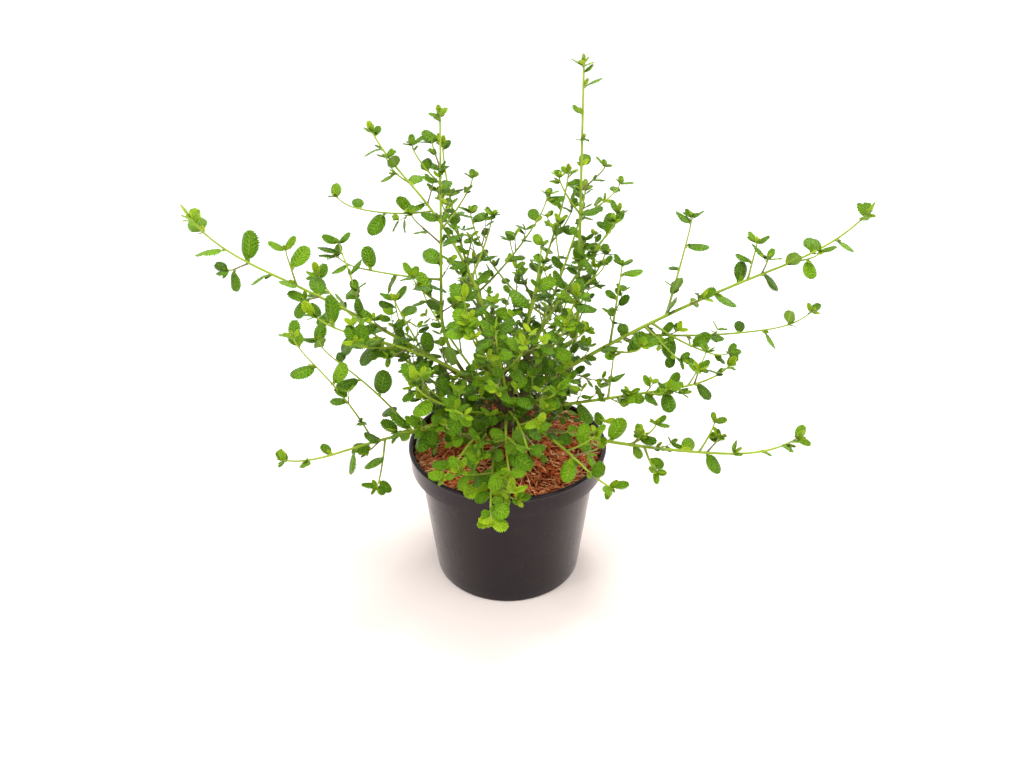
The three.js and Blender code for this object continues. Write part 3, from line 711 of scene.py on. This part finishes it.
def blade(rows, columns, teeth, thickness, width, fold, curl, droop, twist):
    """A leaf blade of length 1 with a toothed rim: the face above, the pale underside below."""
    u = np.linspace(0, 1, rows + 2)[1:-1]
    t = 0.006 + 0.988 * (u + 0.25 * (0.5 - 0.5 * np.cos(math.pi * u) - u))
    half = 0.5 * width * t ** 0.52 * (1 - t) ** 0.46 * 2 ** 0.98
    tooth = np.where(np.arange(rows) % 2 == 0, teeth, -teeth) * np.clip(t * 5, 0, 1)
    s = np.linspace(-1, 1, columns)
    s = np.sign(s) * np.abs(s) ** 0.85
    rim = np.abs(s) > 0.99
    x = t[:, None] + rim * (0.35 * tooth)[:, None] * width
    y = s * half[:, None] * (1 + rim * tooth[:, None])
    rise = fold * np.abs(y) - curl * (np.abs(y) / (0.5 * width)) ** 3 * 0.12
    lateral = 0.008 * np.cos(math.tau * (6.5 * t[:, None] - 1.6 * np.abs(s))) * (1 - rim)
    swell = 0.03 * (1 - (2 * np.abs(s) - 1) ** 2) * np.sin(math.pi * t)[:, None]
    z = rise + lateral + swell - droop * (x ** 2) + twist * y * (x - 0.4)
    upper = np.stack([x, y, z], -1)
    lower = upper[:, ~rim]
    lower[..., 2] -= thickness * (1 + 0.8 * (np.abs(s[~rim]) < 0.1))
    ends = [[0, 0, 0], [1.01, 0, -droop]]
    points = np.concatenate([upper.reshape(-1, 3), lower.reshape(-1, 3), ends])
    top = np.arange(rows * columns).reshape(rows, columns)
    under = top.copy()
    under[:, ~rim] = rows * columns + np.arange(rows * (~rim).sum()).reshape(rows, -1)

    def sheet(grid, flip):
        a, b, c, d = grid[:-1, :-1], grid[1:, :-1], grid[1:, 1:], grid[:-1, 1:]
        quads = np.stack([a, b, c, d], -1).reshape(-1, 4)
        base, tip = (np.full(columns - 1, len(points) - back) for back in (2, 1))
        first = np.stack([base, grid[0, :-1], grid[0, 1:]], -1)
        last = np.stack([grid[-1, :-1], tip, grid[-1, 1:]], -1)
        return quads[:, ::flip], np.concatenate([first, last])[:, ::flip]

    kinds = list(zip(sheet(top, 1), sheet(under, -1)))
    place = np.stack(np.broadcast_arrays(t[:, None], s, 0.0), -1)
    places = np.concatenate([place.reshape(-1, 3), place[:, ~rim].reshape(-1, 3),
                             [[0, 0, 0], [1, 0, 0]]])
    slots = [np.repeat([0, 1], [len(above), len(below)]) for above, below in kinds]
    return Form(points, [np.concatenate(kind) for kind in kinds], places, slots)


def stalk(reach):
    """A leaf stalk from the node to the foot of its blade, 1 being the whole leaf's length."""
    share = np.linspace(0, 1, 3)
    points = np.stack([share * reach, share * 0, 0.15 * (share ** 2 - share)], -1)
    return tube(points, 0.026 * (1.25 - 0.45 * share), 5)


def bud():
    points = np.array([[0, 0, 0], [0.25, 0, 0], [0.6, 0, 0], [0.9, 0, 0]])
    return tube(points, np.array([0.2, 0.3, 0.24, 0.08]), 5)


def fibre(bend, ragged):
    """A bent, torn strip of bark of length 1, width 1 and thickness 1."""
    share = np.linspace(0, 1, 4)
    middle = np.stack([share - 0.5, bend * (share - 0.5) ** 2 * 4, 0.5 * bend * np.sin(3 * share)], -1)
    wide = 0.5 * (0.35 + 0.65 * np.sin(math.pi * (0.12 + 0.76 * share)))
    wide = wide * (1 + ragged * np.cos(9 * share))
    thick = 0.5 * (0.6 + 0.4 * np.sin(math.pi * share))
    corner = np.array([[-1, -1], [1, -1], [1, 1], [-1, 1]])
    ring = np.zeros((4, 4, 3))
    ring[..., 1] = corner[:, 0] * wide[:, None]
    ring[..., 2] = corner[:, 1] * thick[:, None]
    ring += middle[:, None]
    ends = [middle[0] - [0.03, 0, 0], middle[-1] + [0.03, 0, 0]]
    return Form(np.concatenate([ring.reshape(-1, 3), ends]), rings(4, 4))


# ---- Materials ----

def paint(red, green, blue):
    """A colour given as it looks on a screen, from 0 to 255, in the shader's own units."""
    share = np.array([red, green, blue]) / 255
    linear = np.where(share <= 0.04045, share / 12.92, ((share + 0.055) / 1.055) ** 2.4)
    return (*[float(v) for v in linear], 1.0)


def mix_paint(a, b, share):
    return tuple(mix(p, q, share) for p, q in zip(a, b))


def dim(colour, share):
    return [c * share for c in colour[:3]] + [1]


class Shader:
    """One Principled material and the nodes that feed it."""

    def __init__(self, name, **settings):
        self.material = bpy.data.materials.new(name)
        self.material.use_nodes = True
        self.tree = self.material.node_tree
        self.tree.nodes.clear()
        self.surface = self.node("BsdfPrincipled")
        self.node("OutputMaterial", {"Surface": self.surface.outputs["BSDF"]})
        self.set(**settings)

    def node(self, kind, inputs=None, **settings):
        made = self.tree.nodes.new("ShaderNode" + kind)
        for key, value in settings.items():
            setattr(made, key, value)
        self.feed(made, inputs or {})
        return made

    def feed(self, node, inputs):
        """Gives a node's inputs their values, or links them to other nodes' outputs."""
        for key, value in inputs.items():
            if isinstance(value, bpy.types.NodeSocket):
                self.tree.links.new(value, node.inputs[key])
            else:
                node.inputs[key].default_value = value

    def set(self, **inputs):
        """Feeds the surface, and gives the material."""
        self.feed(self.surface, {key.replace("_", " "): value for key, value in inputs.items()})
        return self.material

    def math(self, operation, a, b=0.0, c=0.0):
        return self.node("Math", {0: a, 1: b, 2: c}, operation=operation).outputs[0]

    def span(self, value, low, high, start=0.0, end=1.0):
        """`value` from low to high, eased into start to end."""
        inputs = {"Value": value, "From Min": low, "From Max": high, "To Min": start, "To Max": end}
        return self.node("MapRange", inputs, interpolation_type="SMOOTHSTEP").outputs[0]

    def mix(self, factor, a, b, blend="MIX"):
        inputs = {0: factor, 6: a, 7: b}
        return self.node("Mix", inputs, data_type="RGBA", blend_type=blend).outputs[2]

    def fade(self, value, low, high, a, b, most=1.0):
        """Colour a, turning into b as `value` goes from low to high."""
        return self.mix(self.span(value, low, high, 0.0, most), a, b)

    def where(self, stretch=(1, 1, 1)):
        place = self.node("TexCoord").outputs["Object"]
        return self.node("Mapping", {"Vector": place, "Scale": stretch}).outputs[0]

    def place(self):
        """The point's place on its leaf or stem."""
        return self.node("Attribute", attribute_name="place").outputs["Vector"]

    def noise(self, scale, detail=3.0, roughness=0.55, vector=None):
        vector = self.where() if vector is None else vector
        inputs = {"Vector": vector, "Scale": scale, "Detail": detail, "Roughness": roughness}
        return self.node("TexNoise", inputs).outputs[0]

    def finish(self, base, rough, height, depth, strength=1.0):
        """Feeds the surface its colour, roughness and relief, and gives the material."""
        relief = {"Height": height, "Distance": depth, "Strength": strength}
        return self.set(Base_Color=base, Roughness=rough, Normal=self.node("Bump", relief).outputs[0])

    def leaf_pattern(self, wander=None):
        """How far each point is from the midrib, and the side veins' wave, -1 along each vein."""
        split = self.node("SeparateXYZ", {0: self.place()})
        across = self.math("ABSOLUTE", split.outputs[1])
        phase = self.math("MULTIPLY_ADD", across, -1.6, self.math("MULTIPLY", split.outputs[0], 6.5))
        if wander is not None:
            phase = self.math("MULTIPLY_ADD", wander, 0.6, phase)
        return across, self.math("COSINE", self.math("MULTIPLY", phase, math.tau))


def leaf_face(name, colour, vein, rim):
    """The glossy upper side: sunken pale veins, a rim of its own tone, a faint mottle in its gloss, and
    painted shade over its quilted relief.
    """
    coat = Shader(name, Specular_IOR_Level=0.6, Specular_Tint=(0.85, 1.0, 0.25, 1))
    mottle = coat.noise(6.0, 4.0, vector=coat.place())
    quilt_and_shade = coat.noise(11.0, 3.0, 0.7, coat.place())
    across, wave = coat.leaf_pattern(mottle)
    middle = coat.span(across, 0.03, 0.11, 1.0, 0.0)
    lateral = coat.math("MULTIPLY", coat.span(wave, -0.7, -1.0), coat.span(across, 1.0, 0.4))
    veins = coat.math("MAXIMUM", middle, coat.math("MULTIPLY", lateral, 0.6))
    # Painted shade: the noise that makes the quilted relief also darkens the blade in patches, down to
    # about a third of its colour.
    base = coat.fade(quilt_and_shade, 0.44, 0.64, colour, dim(colour, 0.36), 0.85)
    base = coat.mix(coat.math("MULTIPLY", veins, 0.55), base, vein)
    base = coat.fade(across, 0.86, 1.0, base, rim, 0.8)
    pillows = coat.math("MULTIPLY", coat.span(wave, -1.0, 1.0), coat.span(across, 1.0, 0.6))
    height = coat.math("MULTIPLY_ADD", pillows, 0.75, coat.math("MULTIPLY", middle, -0.8))
    height = coat.math("MULTIPLY_ADD", quilt_and_shade, 1.2, height)
    return coat.finish(base, coat.span(mottle, 0.3, 0.7, 0.22, 0.36), height, 0.0008)


def leaf_back(name, colour, vein):
    """The duller underside, with its veins standing out."""
    coat = Shader(name, Specular_IOR_Level=0.3)
    across, wave = coat.leaf_pattern()
    middle = coat.span(across, 0.04, 0.14, 1.0, 0.0)
    lateral = coat.math("MULTIPLY", coat.span(wave, -0.6, -1.0), 0.6)
    veins = coat.math("MAXIMUM", middle, lateral)
    mottle = coat.noise(9.0, 4.0, vector=coat.place())
    base = coat.fade(mottle, 0.3, 0.7, colour, dim(colour, 0.8), 0.4)
    base = coat.mix(coat.math("MULTIPLY", veins, 0.5), base, vein)
    return coat.finish(base, 0.62, veins, 0.0003, 0.8)


def stem_skin(name, tip, middle, root):
    """Young bark, by how it looks at a stem's tip, middle and root, finely streaked."""
    coat = Shader(name, Specular_IOR_Level=0.35)
    age = coat.node("SeparateXYZ", {0: coat.place()}).outputs[0]
    streaks = coat.noise(900.0, 4.0)
    patches = coat.noise(110.0, 3.0)
    level = coat.math("MULTIPLY_ADD", patches, 0.3, coat.math("SUBTRACT", age, 0.15))
    young = coat.fade(level, 0.0, 0.5, paint(*tip), paint(*middle))
    base = coat.fade(level, 0.5, 1.0, young, paint(*root))
    dark = coat.mix(1.0, base, (0.7, 0.7, 0.62, 1), "MULTIPLY")
    base = coat.fade(streaks, 0.4, 0.75, base, dark, 0.7)
    return coat.finish(base, coat.span(streaks, 0.3, 0.7, 0.44, 0.62), streaks, 0.0002, 0.6)


def bark():
    """Grey-brown bark with darker furrows and pale flecks."""
    coat = Shader("bark", Specular_IOR_Level=0.25)
    furrows = coat.noise(420.0, 6.0, 0.65, coat.where((1, 1, 0.25)))
    flecks = coat.noise(1500.0, 2.0)
    base = coat.fade(furrows, 0.36, 0.62, paint(58, 42, 28), paint(110, 90, 62))
    base = coat.fade(flecks, 0.62, 0.75, base, paint(176, 164, 132), 0.6)
    return coat.finish(base, coat.span(furrows, 0.3, 0.7, 0.95, 0.7), furrows, 0.0008)


def pot_plastic():
    """Black moulded plastic: satin, with faint upright streaks, fine grain and a little dust."""
    coat = Shader("pot_plastic", Specular_IOR_Level=0.26, Specular_Tint=(1.0, 0.82, 0.88, 1),
                  Sheen_Weight=0.2, Sheen_Roughness=0.4, Sheen_Tint=(1.0, 0.9, 0.94, 1))
    streaks = coat.noise(260.0, 4.0, vector=coat.where((1, 1, 0.06)))
    grain = coat.noise(2600.0, 2.0)
    dust = coat.noise(34.0, 5.0, 0.6)
    base = coat.fade(streaks, 0.35, 0.7, paint(5, 2, 3), paint(10, 5, 7))
    base = coat.fade(dust, 0.56, 0.8, base, paint(130, 96, 92), 0.04)
    rough = coat.math("MULTIPLY_ADD", streaks, 0.1, coat.span(dust, 0.4, 0.75, 0.16, 0.26))
    height = coat.math("MULTIPLY_ADD", grain, 0.35, streaks)
    return coat.finish(base, rough, height, 0.00012, 0.7)


def shredded(name, light, dark):
    """Shredded bark mulch: long fine grain, dry and matt."""
    coat = Shader(name, Specular_IOR_Level=0.15)
    tone = coat.noise(160.0, 2.0)
    grain = coat.noise(1400.0, 5.0, 0.7)
    base = coat.fade(tone, 0.38, 0.62, paint(*dark), paint(*light))
    base = coat.fade(grain, 0.55, 0.75, base, dim(paint(*dark), 0.3), 0.7)
    return coat.finish(base, coat.span(grain, 0.3, 0.7, 0.75, 0.98), grain, 0.0004)


def plain_floor():
    coat = Shader("studio_floor", Specular_IOR_Level=0.1, Roughness=0.85)
    away = coat.node("VectorMath", {0: coat.where()}, operation="LENGTH").outputs["Value"]
    # Painted shadow with a warm tint: near the middle the floor is warmer and darker, fading out between
    # 0.12 and 0.5 m.
    warm_shadow = coat.mix(coat.noise(3.0, 3.0), (0.89, 0.78, 0.73, 1), (0.91, 0.81, 0.76, 1))
    return coat.set(Base_Color=coat.fade(away, 0.12, 0.5, warm_shadow, (0.98, 0.97, 0.965, 1)))


# ---- Pieces ----

FOLIAGE = [name for name in sorted(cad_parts) if name.startswith("foliage_")]
LIMBS = [name for name in sorted(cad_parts) if name.startswith("bough_")]


def add_object(name, data, place=(0, 0, 0), turn=(0, 0, 0)):
    made = bpy.data.objects.new(name, data)
    made.location, made.rotation_euler = place, turn
    bpy.context.scene.collection.objects.link(made)
    return made


def make_piece(name, forms, materials, nodes, sharp=75):
    """The forms joined into one piece that replaces nodes. Edges bent past `sharp` stay sharp."""
    mesh = join(name, forms)
    for material in materials:
        mesh.materials.append(material)
    mesh.set_sharp_from_angle(angle=math.radians(sharp))
    piece = add_object(name, mesh)
    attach(piece, "root")
    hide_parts(*nodes)
    return piece


def pot_piece():
    """The whole pot: collar with its step, rolled lip, wall and a floor with drain holes."""
    lip_z = POT_HEIGHT - POT_LIP
    ledge_z = POT_STEP_Z - POT_LEDGE
    profile = [
        [0, 0.8], [55, 0.8], [56, 0], *arc(POT_FOOT - 2, 2, 2, -90, -5, 6),
        *[[mix(POT_FOOT, POT_BODY, i / 12), mix(2, ledge_z, i / 12)] for i in range(1, 13)],
        [POT_COLLAR - 1.2, POT_STEP_Z - 0.4], [POT_COLLAR - 0.5, POT_STEP_Z],
        [POT_COLLAR - 0.3, POT_STEP_Z + 1], [POT_COLLAR - 0.1, POT_STEP_Z + 7],
        [POT_COLLAR, lip_z - 1], [POT_RIM - 0.6, lip_z - 0.3],
        *arc(POT_RIM - 1.5, POT_HEIGHT - 1.9, 1.5, -60, 60, 7),
        *arc(POT_RIM - 1.9, POT_HEIGHT - 1.5, 1.5, 70, 110, 4),
        *arc(POT_INNER + 1.2, POT_HEIGHT - 1.2, 1.2, 90, 180, 5),
        [POT_INNER, POT_STEP_Z + 6], [POT_INNER, POT_STEP_Z + POT_WALL],
        [POT_BODY - POT_WALL, ledge_z + POT_WALL], [POT_FOOT - POT_WALL, POT_WALL + 2],
        [POT_FOOT - POT_WALL - 2, POT_WALL], [0, POT_WALL],
    ]
    pot = make_piece("pot_shell", [turned(profile, 144)], [pot_plastic()], ["pot"], 38)
    holes = [turned([[0, -3], [DRAIN_RADIUS, -3], [DRAIN_RADIUS, 6], [0, 6]], 24) for _ in range(DRAINS)]
    for i, hole in enumerate(holes):
        turn = (i + 0.5) / DRAINS * math.tau
        hole.points = hole.points + [DRAIN_RING * math.cos(turn), DRAIN_RING * math.sin(turn), 0]
    cutter = add_object("drill", join("drill", holes))
    cut = pot.modifiers.new("drains", "BOOLEAN")
    cut.object = cutter
    cut.solver = "EXACT"
    shown = pot.evaluated_get(bpy.context.evaluated_depsgraph_get())
    drilled = bpy.data.meshes.new_from_object(shown)
    pot.modifiers.clear()
    pot.data = drilled
    bpy.data.objects.remove(cutter)


# Each kind of loose bark: how it looks in the light and in the dark, and its share of the whole.
MULCHES = {
    "mulch_rust": ((242, 140, 82), (186, 88, 40), 0.42),
    "mulch_brown": ((176, 84, 38), (104, 42, 12), 0.34),
    "mulch_straw": ((255, 208, 164), (240, 164, 110), 0.24),
}
BED_GAP = 0.4  # from the bed to the pot's wall
BED_SUNK = 0.6  # how far the bed lies under the mulch's height
BED_STEP = 2.2
FIBRES = 6000


def mulch_bed():
    """The heaped bed under the loose bark."""
    wall = POT_WALL + BED_GAP
    edge = POT_INNER - BED_GAP
    profile = [
        [0, wall], [POT_FOOT - wall - 2, wall], [POT_FOOT - wall, wall + 2],
        [POT_BODY - wall, POT_STEP_Z + wall - POT_LEDGE], [edge, POT_STEP_Z + wall],
        *[[r, mulch_height(r) - BED_SUNK] for r in np.arange(edge, 2, -BED_STEP)],
        [0, MULCH_CROWN - BED_SUNK],
    ]
    bed = turned(profile, 110)
    x, y, z = bed.points.T
    top = (z > MULCH_EDGE_Z - 4) & (np.hypot(x, y) < edge - 1)
    lumps = np.sin(0.9 * x + 1.3 * np.sin(0.7 * y)) + np.sin(1.1 * y + 1.7 * np.sin(0.5 * x))
    z += np.where(top, 0.5 * lumps, 0)
    # The bed's near-black bark colour is painted shade, for the dark gaps between the loose strips.
    make_piece("mulch_bed", [bed], [shredded("mulch_bed", (84, 30, 6), (36, 10, 2))],
               ["mulch"], 60)


def mulch_fibres():
    """Loose strips and chips of bark lying over the bed, in three colours."""
    draw = np.random.default_rng(7)
    out, turn, long, wide, broad, thick, aim, high, tilt, roll = draw.random((10, FIBRES))
    turn, aim, roll = turn * math.tau, aim * math.tau, 0.9 * (roll - 0.5)
    length = 3 + 13 * long ** 1.7
    width = (0.3 + 0.5 * wide) * np.where(broad > 0.95, 2.6, 1)
    farthest = POT_INNER - 1.5 - 0.5 * length * np.abs(np.cos(aim - turn))
    radius = np.maximum(np.minimum(np.sqrt(out) * (POT_INNER - 2.5), farthest), 9.5)
    height = mulch_height(radius) + (0.2 + 2.4 * high ** 1.4)
    middle = np.stack([radius * np.cos(turn), radius * np.sin(turn), height], -1)
    slope = np.where(radius > POT_INNER - 12, 0.0, -0.18) * np.cos(aim - turn)
    ways = directions(aim, 0.34 * (tilt - 0.5) + slope)
    level = np.stack([-np.sin(aim), np.cos(aim), aim * 0], -1)
    faces = np.cross(ways, level) * np.cos(roll)[:, None] + level * np.sin(roll)[:, None]
    sizes = np.stack([length, width, 0.3 + 0.4 * thick], -1)
    shapes = [fibre(bend, ragged) for bend in (-0.9, -0.3, 0.4, 1.0) for ragged in (0.1, 0.25)]
    pick = draw.integers(0, len(shapes), FIBRES)
    colour = draw.random(FIBRES)
    low = 0.0
    for name, (light, dark, share) in MULCHES.items():
        forms = []
        for i, shape in enumerate(shapes):
            mine = (pick == i) & (colour >= low) & (colour < low + share)
            forms.append(shape.copies(middle[mine], ways[mine], faces[mine], sizes[mine]))
        make_piece(name, forms, [shredded(name, light, dark)], ["mulch"], 50)
        low += share


def trunk_piece():
    """The short main stem: flared at its foot, furrowed, and rounded off under the shoots."""
    rows, sides = 56, 48
    share = np.linspace(0, 1, rows)
    stops = [0, 0.09, 0.25, 0.5, 0.72, 0.9, 0.98, 1]
    radii = [TRUNK_FLARE, TRUNK_RADIUS * 1.12, TRUNK_RADIUS, mix(TRUNK_RADIUS, TRUNK_NECK, 0.4),
             mix(TRUNK_RADIUS, TRUNK_NECK, 0.75), TRUNK_NECK, TRUNK_NECK * 0.55, 0.6]
    radius = np.interp(share, stops, radii)
    turn, up = circle(sides), share[:, None]
    relief = 0.34 * np.sin(7 * turn + 2.2 * np.sin(9 * up))
    relief = relief + 0.2 * np.sin(15 * turn + 3 * np.sin(14 * up + 1))
    roots = 1.1 * np.exp(-up * 14) * np.sin(5 * turn + 0.6)
    relief = (relief + roots) * np.minimum(1, radius / 4)[:, None]
    profile = [[0, FOOT_Z], *zip(radius, FOOT_Z + share * TRUNK_HEIGHT), [0, FOOT_Z + TRUNK_HEIGHT + 0.2]]
    trunk = turned(profile, sides, relief)
    make_piece("trunk_bark", [trunk], [bark()], ["trunk"])


def stem_tube(step, sides, stem, start, end, nodes, relief):
    """A stem's tube between two shares of its length, swollen at its nodes, and its age."""
    rows = max(3, round((end - start) * stem.length / step) + 1)
    shares = np.linspace(start, end, rows)
    points = np.array([stem.at(share) for share in shares])
    radii = np.array([stem.radius(share) for share in shares])
    along = shares * stem.length
    for node in nodes:
        radii = radii * (1 + 0.16 * np.exp(-((along - node * stem.length) / 1.4) ** 2))
    radii = radii * (1 + 0.3 * np.exp(-along / 3.0))
    wave = np.sin(5 * circle(sides) + 1.9 * np.sin(0.21 * along[:, None]))
    rough = relief * (wave + 0.6 * np.sin(3 * circle(sides) - 0.9 * along[:, None]))
    age = np.concatenate([np.repeat(1 - shares, sides), [1 - start, 1 - end]])
    return tube(points, radii, sides, rough, np.stack([age, age * 0, age * 0], -1))


# Each kind of stem, boughs first and then by rank: its piece, material, step along it and sides,
# and how its tip, middle and root look.
STEMS = [
    ("boughs", "bough_skin", 1.6, 12, (146, 168, 46), (130, 144, 46), (104, 86, 44)),
    ("shoots", "shoot_skin", 3.0, 8, (152, 174, 44), (136, 160, 32), (148, 170, 46)),
    ("side_shoots", "side_skin", 3.0, 7, (152, 174, 44), (136, 160, 32), (130, 146, 50)),
    ("twigs", "twig_skin", 3.5, 6, (150, 166, 68), (116, 112, 66), (112, 94, 64)),
    ("sprigs", "sprig_skin", 4.0, 5, (144, 170, 66), (118, 126, 60), (104, 90, 54)),
]
BOUGH_RELIEF = 0.05


def stem_pieces(shoots, sprays):
    """Boughs up to the masses, then the main stems, side stems, twigs and sprigs within them."""
    runs = [(-1, shoot.main, 0, shoot.bough, [], BOUGH_RELIEF) for shoot in shoots if shoot.bough > 0]
    runs += [(spray.rank, spray.stem, spray.shoot.bough * 0.99 if spray.rank == MAIN else 0, 1,
              spray.nodes(), 0) for spray in sprays]
    for rank, (name, material, step, sides, *looks) in enumerate(STEMS, -1):
        tubes = [stem_tube(step, sides, *run) for of_rank, *run in runs if of_rank == rank]
        nodes = LIMBS if rank < 0 else FOLIAGE
        make_piece(name, tubes, [stem_skin(material, *looks)], nodes)


# Each size of leaf: its rows, columns, teeth and thickness, the share that is stalk, and its kinds
# of blade as (width, fold, curl, droop, twist). The leaf's length is 1.
BLADES = {
    "large": (25, 5, 0.11, 0.02, 0.13, [
        (0.7, 0.22, 1.0, 0.12, 0.1), (0.76, 0.12, 0.8, 0.18, -0.15), (0.64, 0.32, 1.2, 0.08, 0.2),
        (0.73, 0.05, 0.6, 0.22, 0.05), (0.67, 0.26, 1.4, 0.14, -0.2)]),
    "medium": (17, 5, 0.14, 0.02, 0.11, [
        (0.66, 0.3, 1.0, 0.1, 0.15), (0.74, 0.15, 0.8, 0.16, -0.1), (0.6, 0.4, 1.0, 0.06, 0.0)]),
    "small": (9, 3, 0.1, 0.04, 0.04, [
        (0.54, 0.3, 0.6, 0.12, 0.1), (0.6, 0.22, 0.6, 0.2, 0.1), (0.48, 0.4, 0.6, 0.05, 0.1)]),
}
UNDERSIDE = paint(126, 148, 62)
BLACK = (0, 0, 0, 1)


def gather(leaves):
    """The roots, ways, faces and lengths of many leaves."""
    return [np.array([getattr(leaf, key) for leaf in leaves]) for key in ("root", "way", "face", "length")]


def leaf_pieces(leaves):
    """Leaves joined by tint, and their stalks."""
    tinted = {tint: [] for tint in LEAF_PAINTS}
    stalks = []
    for size, (*grid, stalk_share, kinds) in BLADES.items():
        mine = [leaf for leaf in leaves if leaf.size == size]
        for (number, forms), (i, kind) in itertools.product(enumerate(tinted.values()), enumerate(kinds)):
            found = [leaf for j, leaf in enumerate(mine)
                     if leaf.tint == number and (j * 7 + i) % len(kinds) == 0]
            if found:
                roots, ways, faces, length = gather(found)
                start = roots + ways * (length * stalk_share)[:, None]
                shape = blade(*grid, *kind)
                forms.append(shape.copies(start, ways, faces, length * (1.06 - stalk_share)))
        if size != "small":
            stalks.append(stalk(stalk_share + 0.03).copies(*gather(mine)))
    for number, (tint, forms) in enumerate(tinted.items()):
        colour, vein = (paint(*look) for look in LEAF_PAINTS[tint])
        rim = mix_paint(colour, vein, 0.8) if number > 2 else mix_paint(colour, BLACK, 0.35)
        face = leaf_face(f"leaf_{tint}", colour, vein, rim)
        back = leaf_back(f"leaf_back_{tint}", mix_paint(colour, UNDERSIDE, 0.6), vein)
        make_piece(f"leaves_{tint}", forms, [face, back], FOLIAGE)
    look = stem_skin("stalk_skin", (150, 190, 76), (140, 180, 70), (130, 168, 64))
    make_piece("leaf_stalks", stalks, [look], FOLIAGE)


def bud_piece(buds):
    roots, ways, faces, length = gather(buds)
    out = np.array([leaf.stem_radius for leaf in buds]) * 0.7
    forms = [bud().copies(roots + ways * out[:, None], ways, faces, length)]
    look = stem_skin("bud_skin", (150, 160, 70), (130, 130, 62), (118, 100, 54))
    make_piece("buds", forms, [look], FOLIAGE)


# ---- The studio, in metres and degrees ----

LENS, SENSOR = 31.64, 36
CAMERA_AT = (0, -0.652385, 0.547047)
CAMERA_TILT = 60.679
CAMERA_TURN = -0.333
FARTHEST = 60
FLOOR_HALF = 7.0
SKY = 1.06
LIT = mathutils.Vector((0, 0, 0.2))  # what the lights aim at

# Each light: its place, size and watts.
LIGHTS = {
    "key": ((-0.9, -0.8, 1.7), 0.6, 13),
    "fill": ((1.2, -0.6, 1.3), 1.1, 8),
    "top": ((0.1, 0.5, 1.9), 0.5, 22),
}


def camera():
    data = bpy.data.cameras.new("camera")
    data.lens, data.sensor_width, data.clip_end = LENS, SENSOR, FARTHEST
    turn = (math.radians(CAMERA_TILT), 0, math.radians(CAMERA_TURN))
    bpy.context.scene.camera = add_object("camera", data, CAMERA_AT, turn)


def lights():
    for name, (place, size, watts) in LIGHTS.items():
        data = bpy.data.lights.new(name, "AREA")
        data.size, data.energy = size, watts
        add_object(name, data, place, (LIT - mathutils.Vector(place)).to_track_quat("-Z", "Y").to_euler())
    world = bpy.data.worlds.new("studio")
    world.use_nodes = True
    background = world.node_tree.nodes["Background"]
    background.inputs["Color"].default_value = (1, 1, 1, 1)
    background.inputs["Strength"].default_value = SKY
    bpy.context.scene.world = world
    bpy.context.scene.view_settings.view_transform = "Standard"


def studio_floor():
    mesh = bpy.data.meshes.new("studio_floor")
    near, far = -FLOOR_HALF, FLOOR_HALF
    mesh.from_pydata([(near, near, 0), (far, near, 0), (far, far, 0), (near, far, 0)], [], [(0, 1, 2, 3)])
    mesh.materials.append(plain_floor())
    floor = add_object("studio_floor", mesh)


def build():
    shoots = [Shoot(number, *row) for number, row in enumerate(SHOOTS)]
    pot_piece()
    mulch_bed()
    mulch_fibres()
    trunk_piece()
    sprays, leaves, buds = grow(shoots)
    stem_pieces(shoots, sprays)
    leaf_pieces(leaves)
    bud_piece(buds)


camera()
studio_floor()
lights()
build()
bpy.context.view_layer.update()
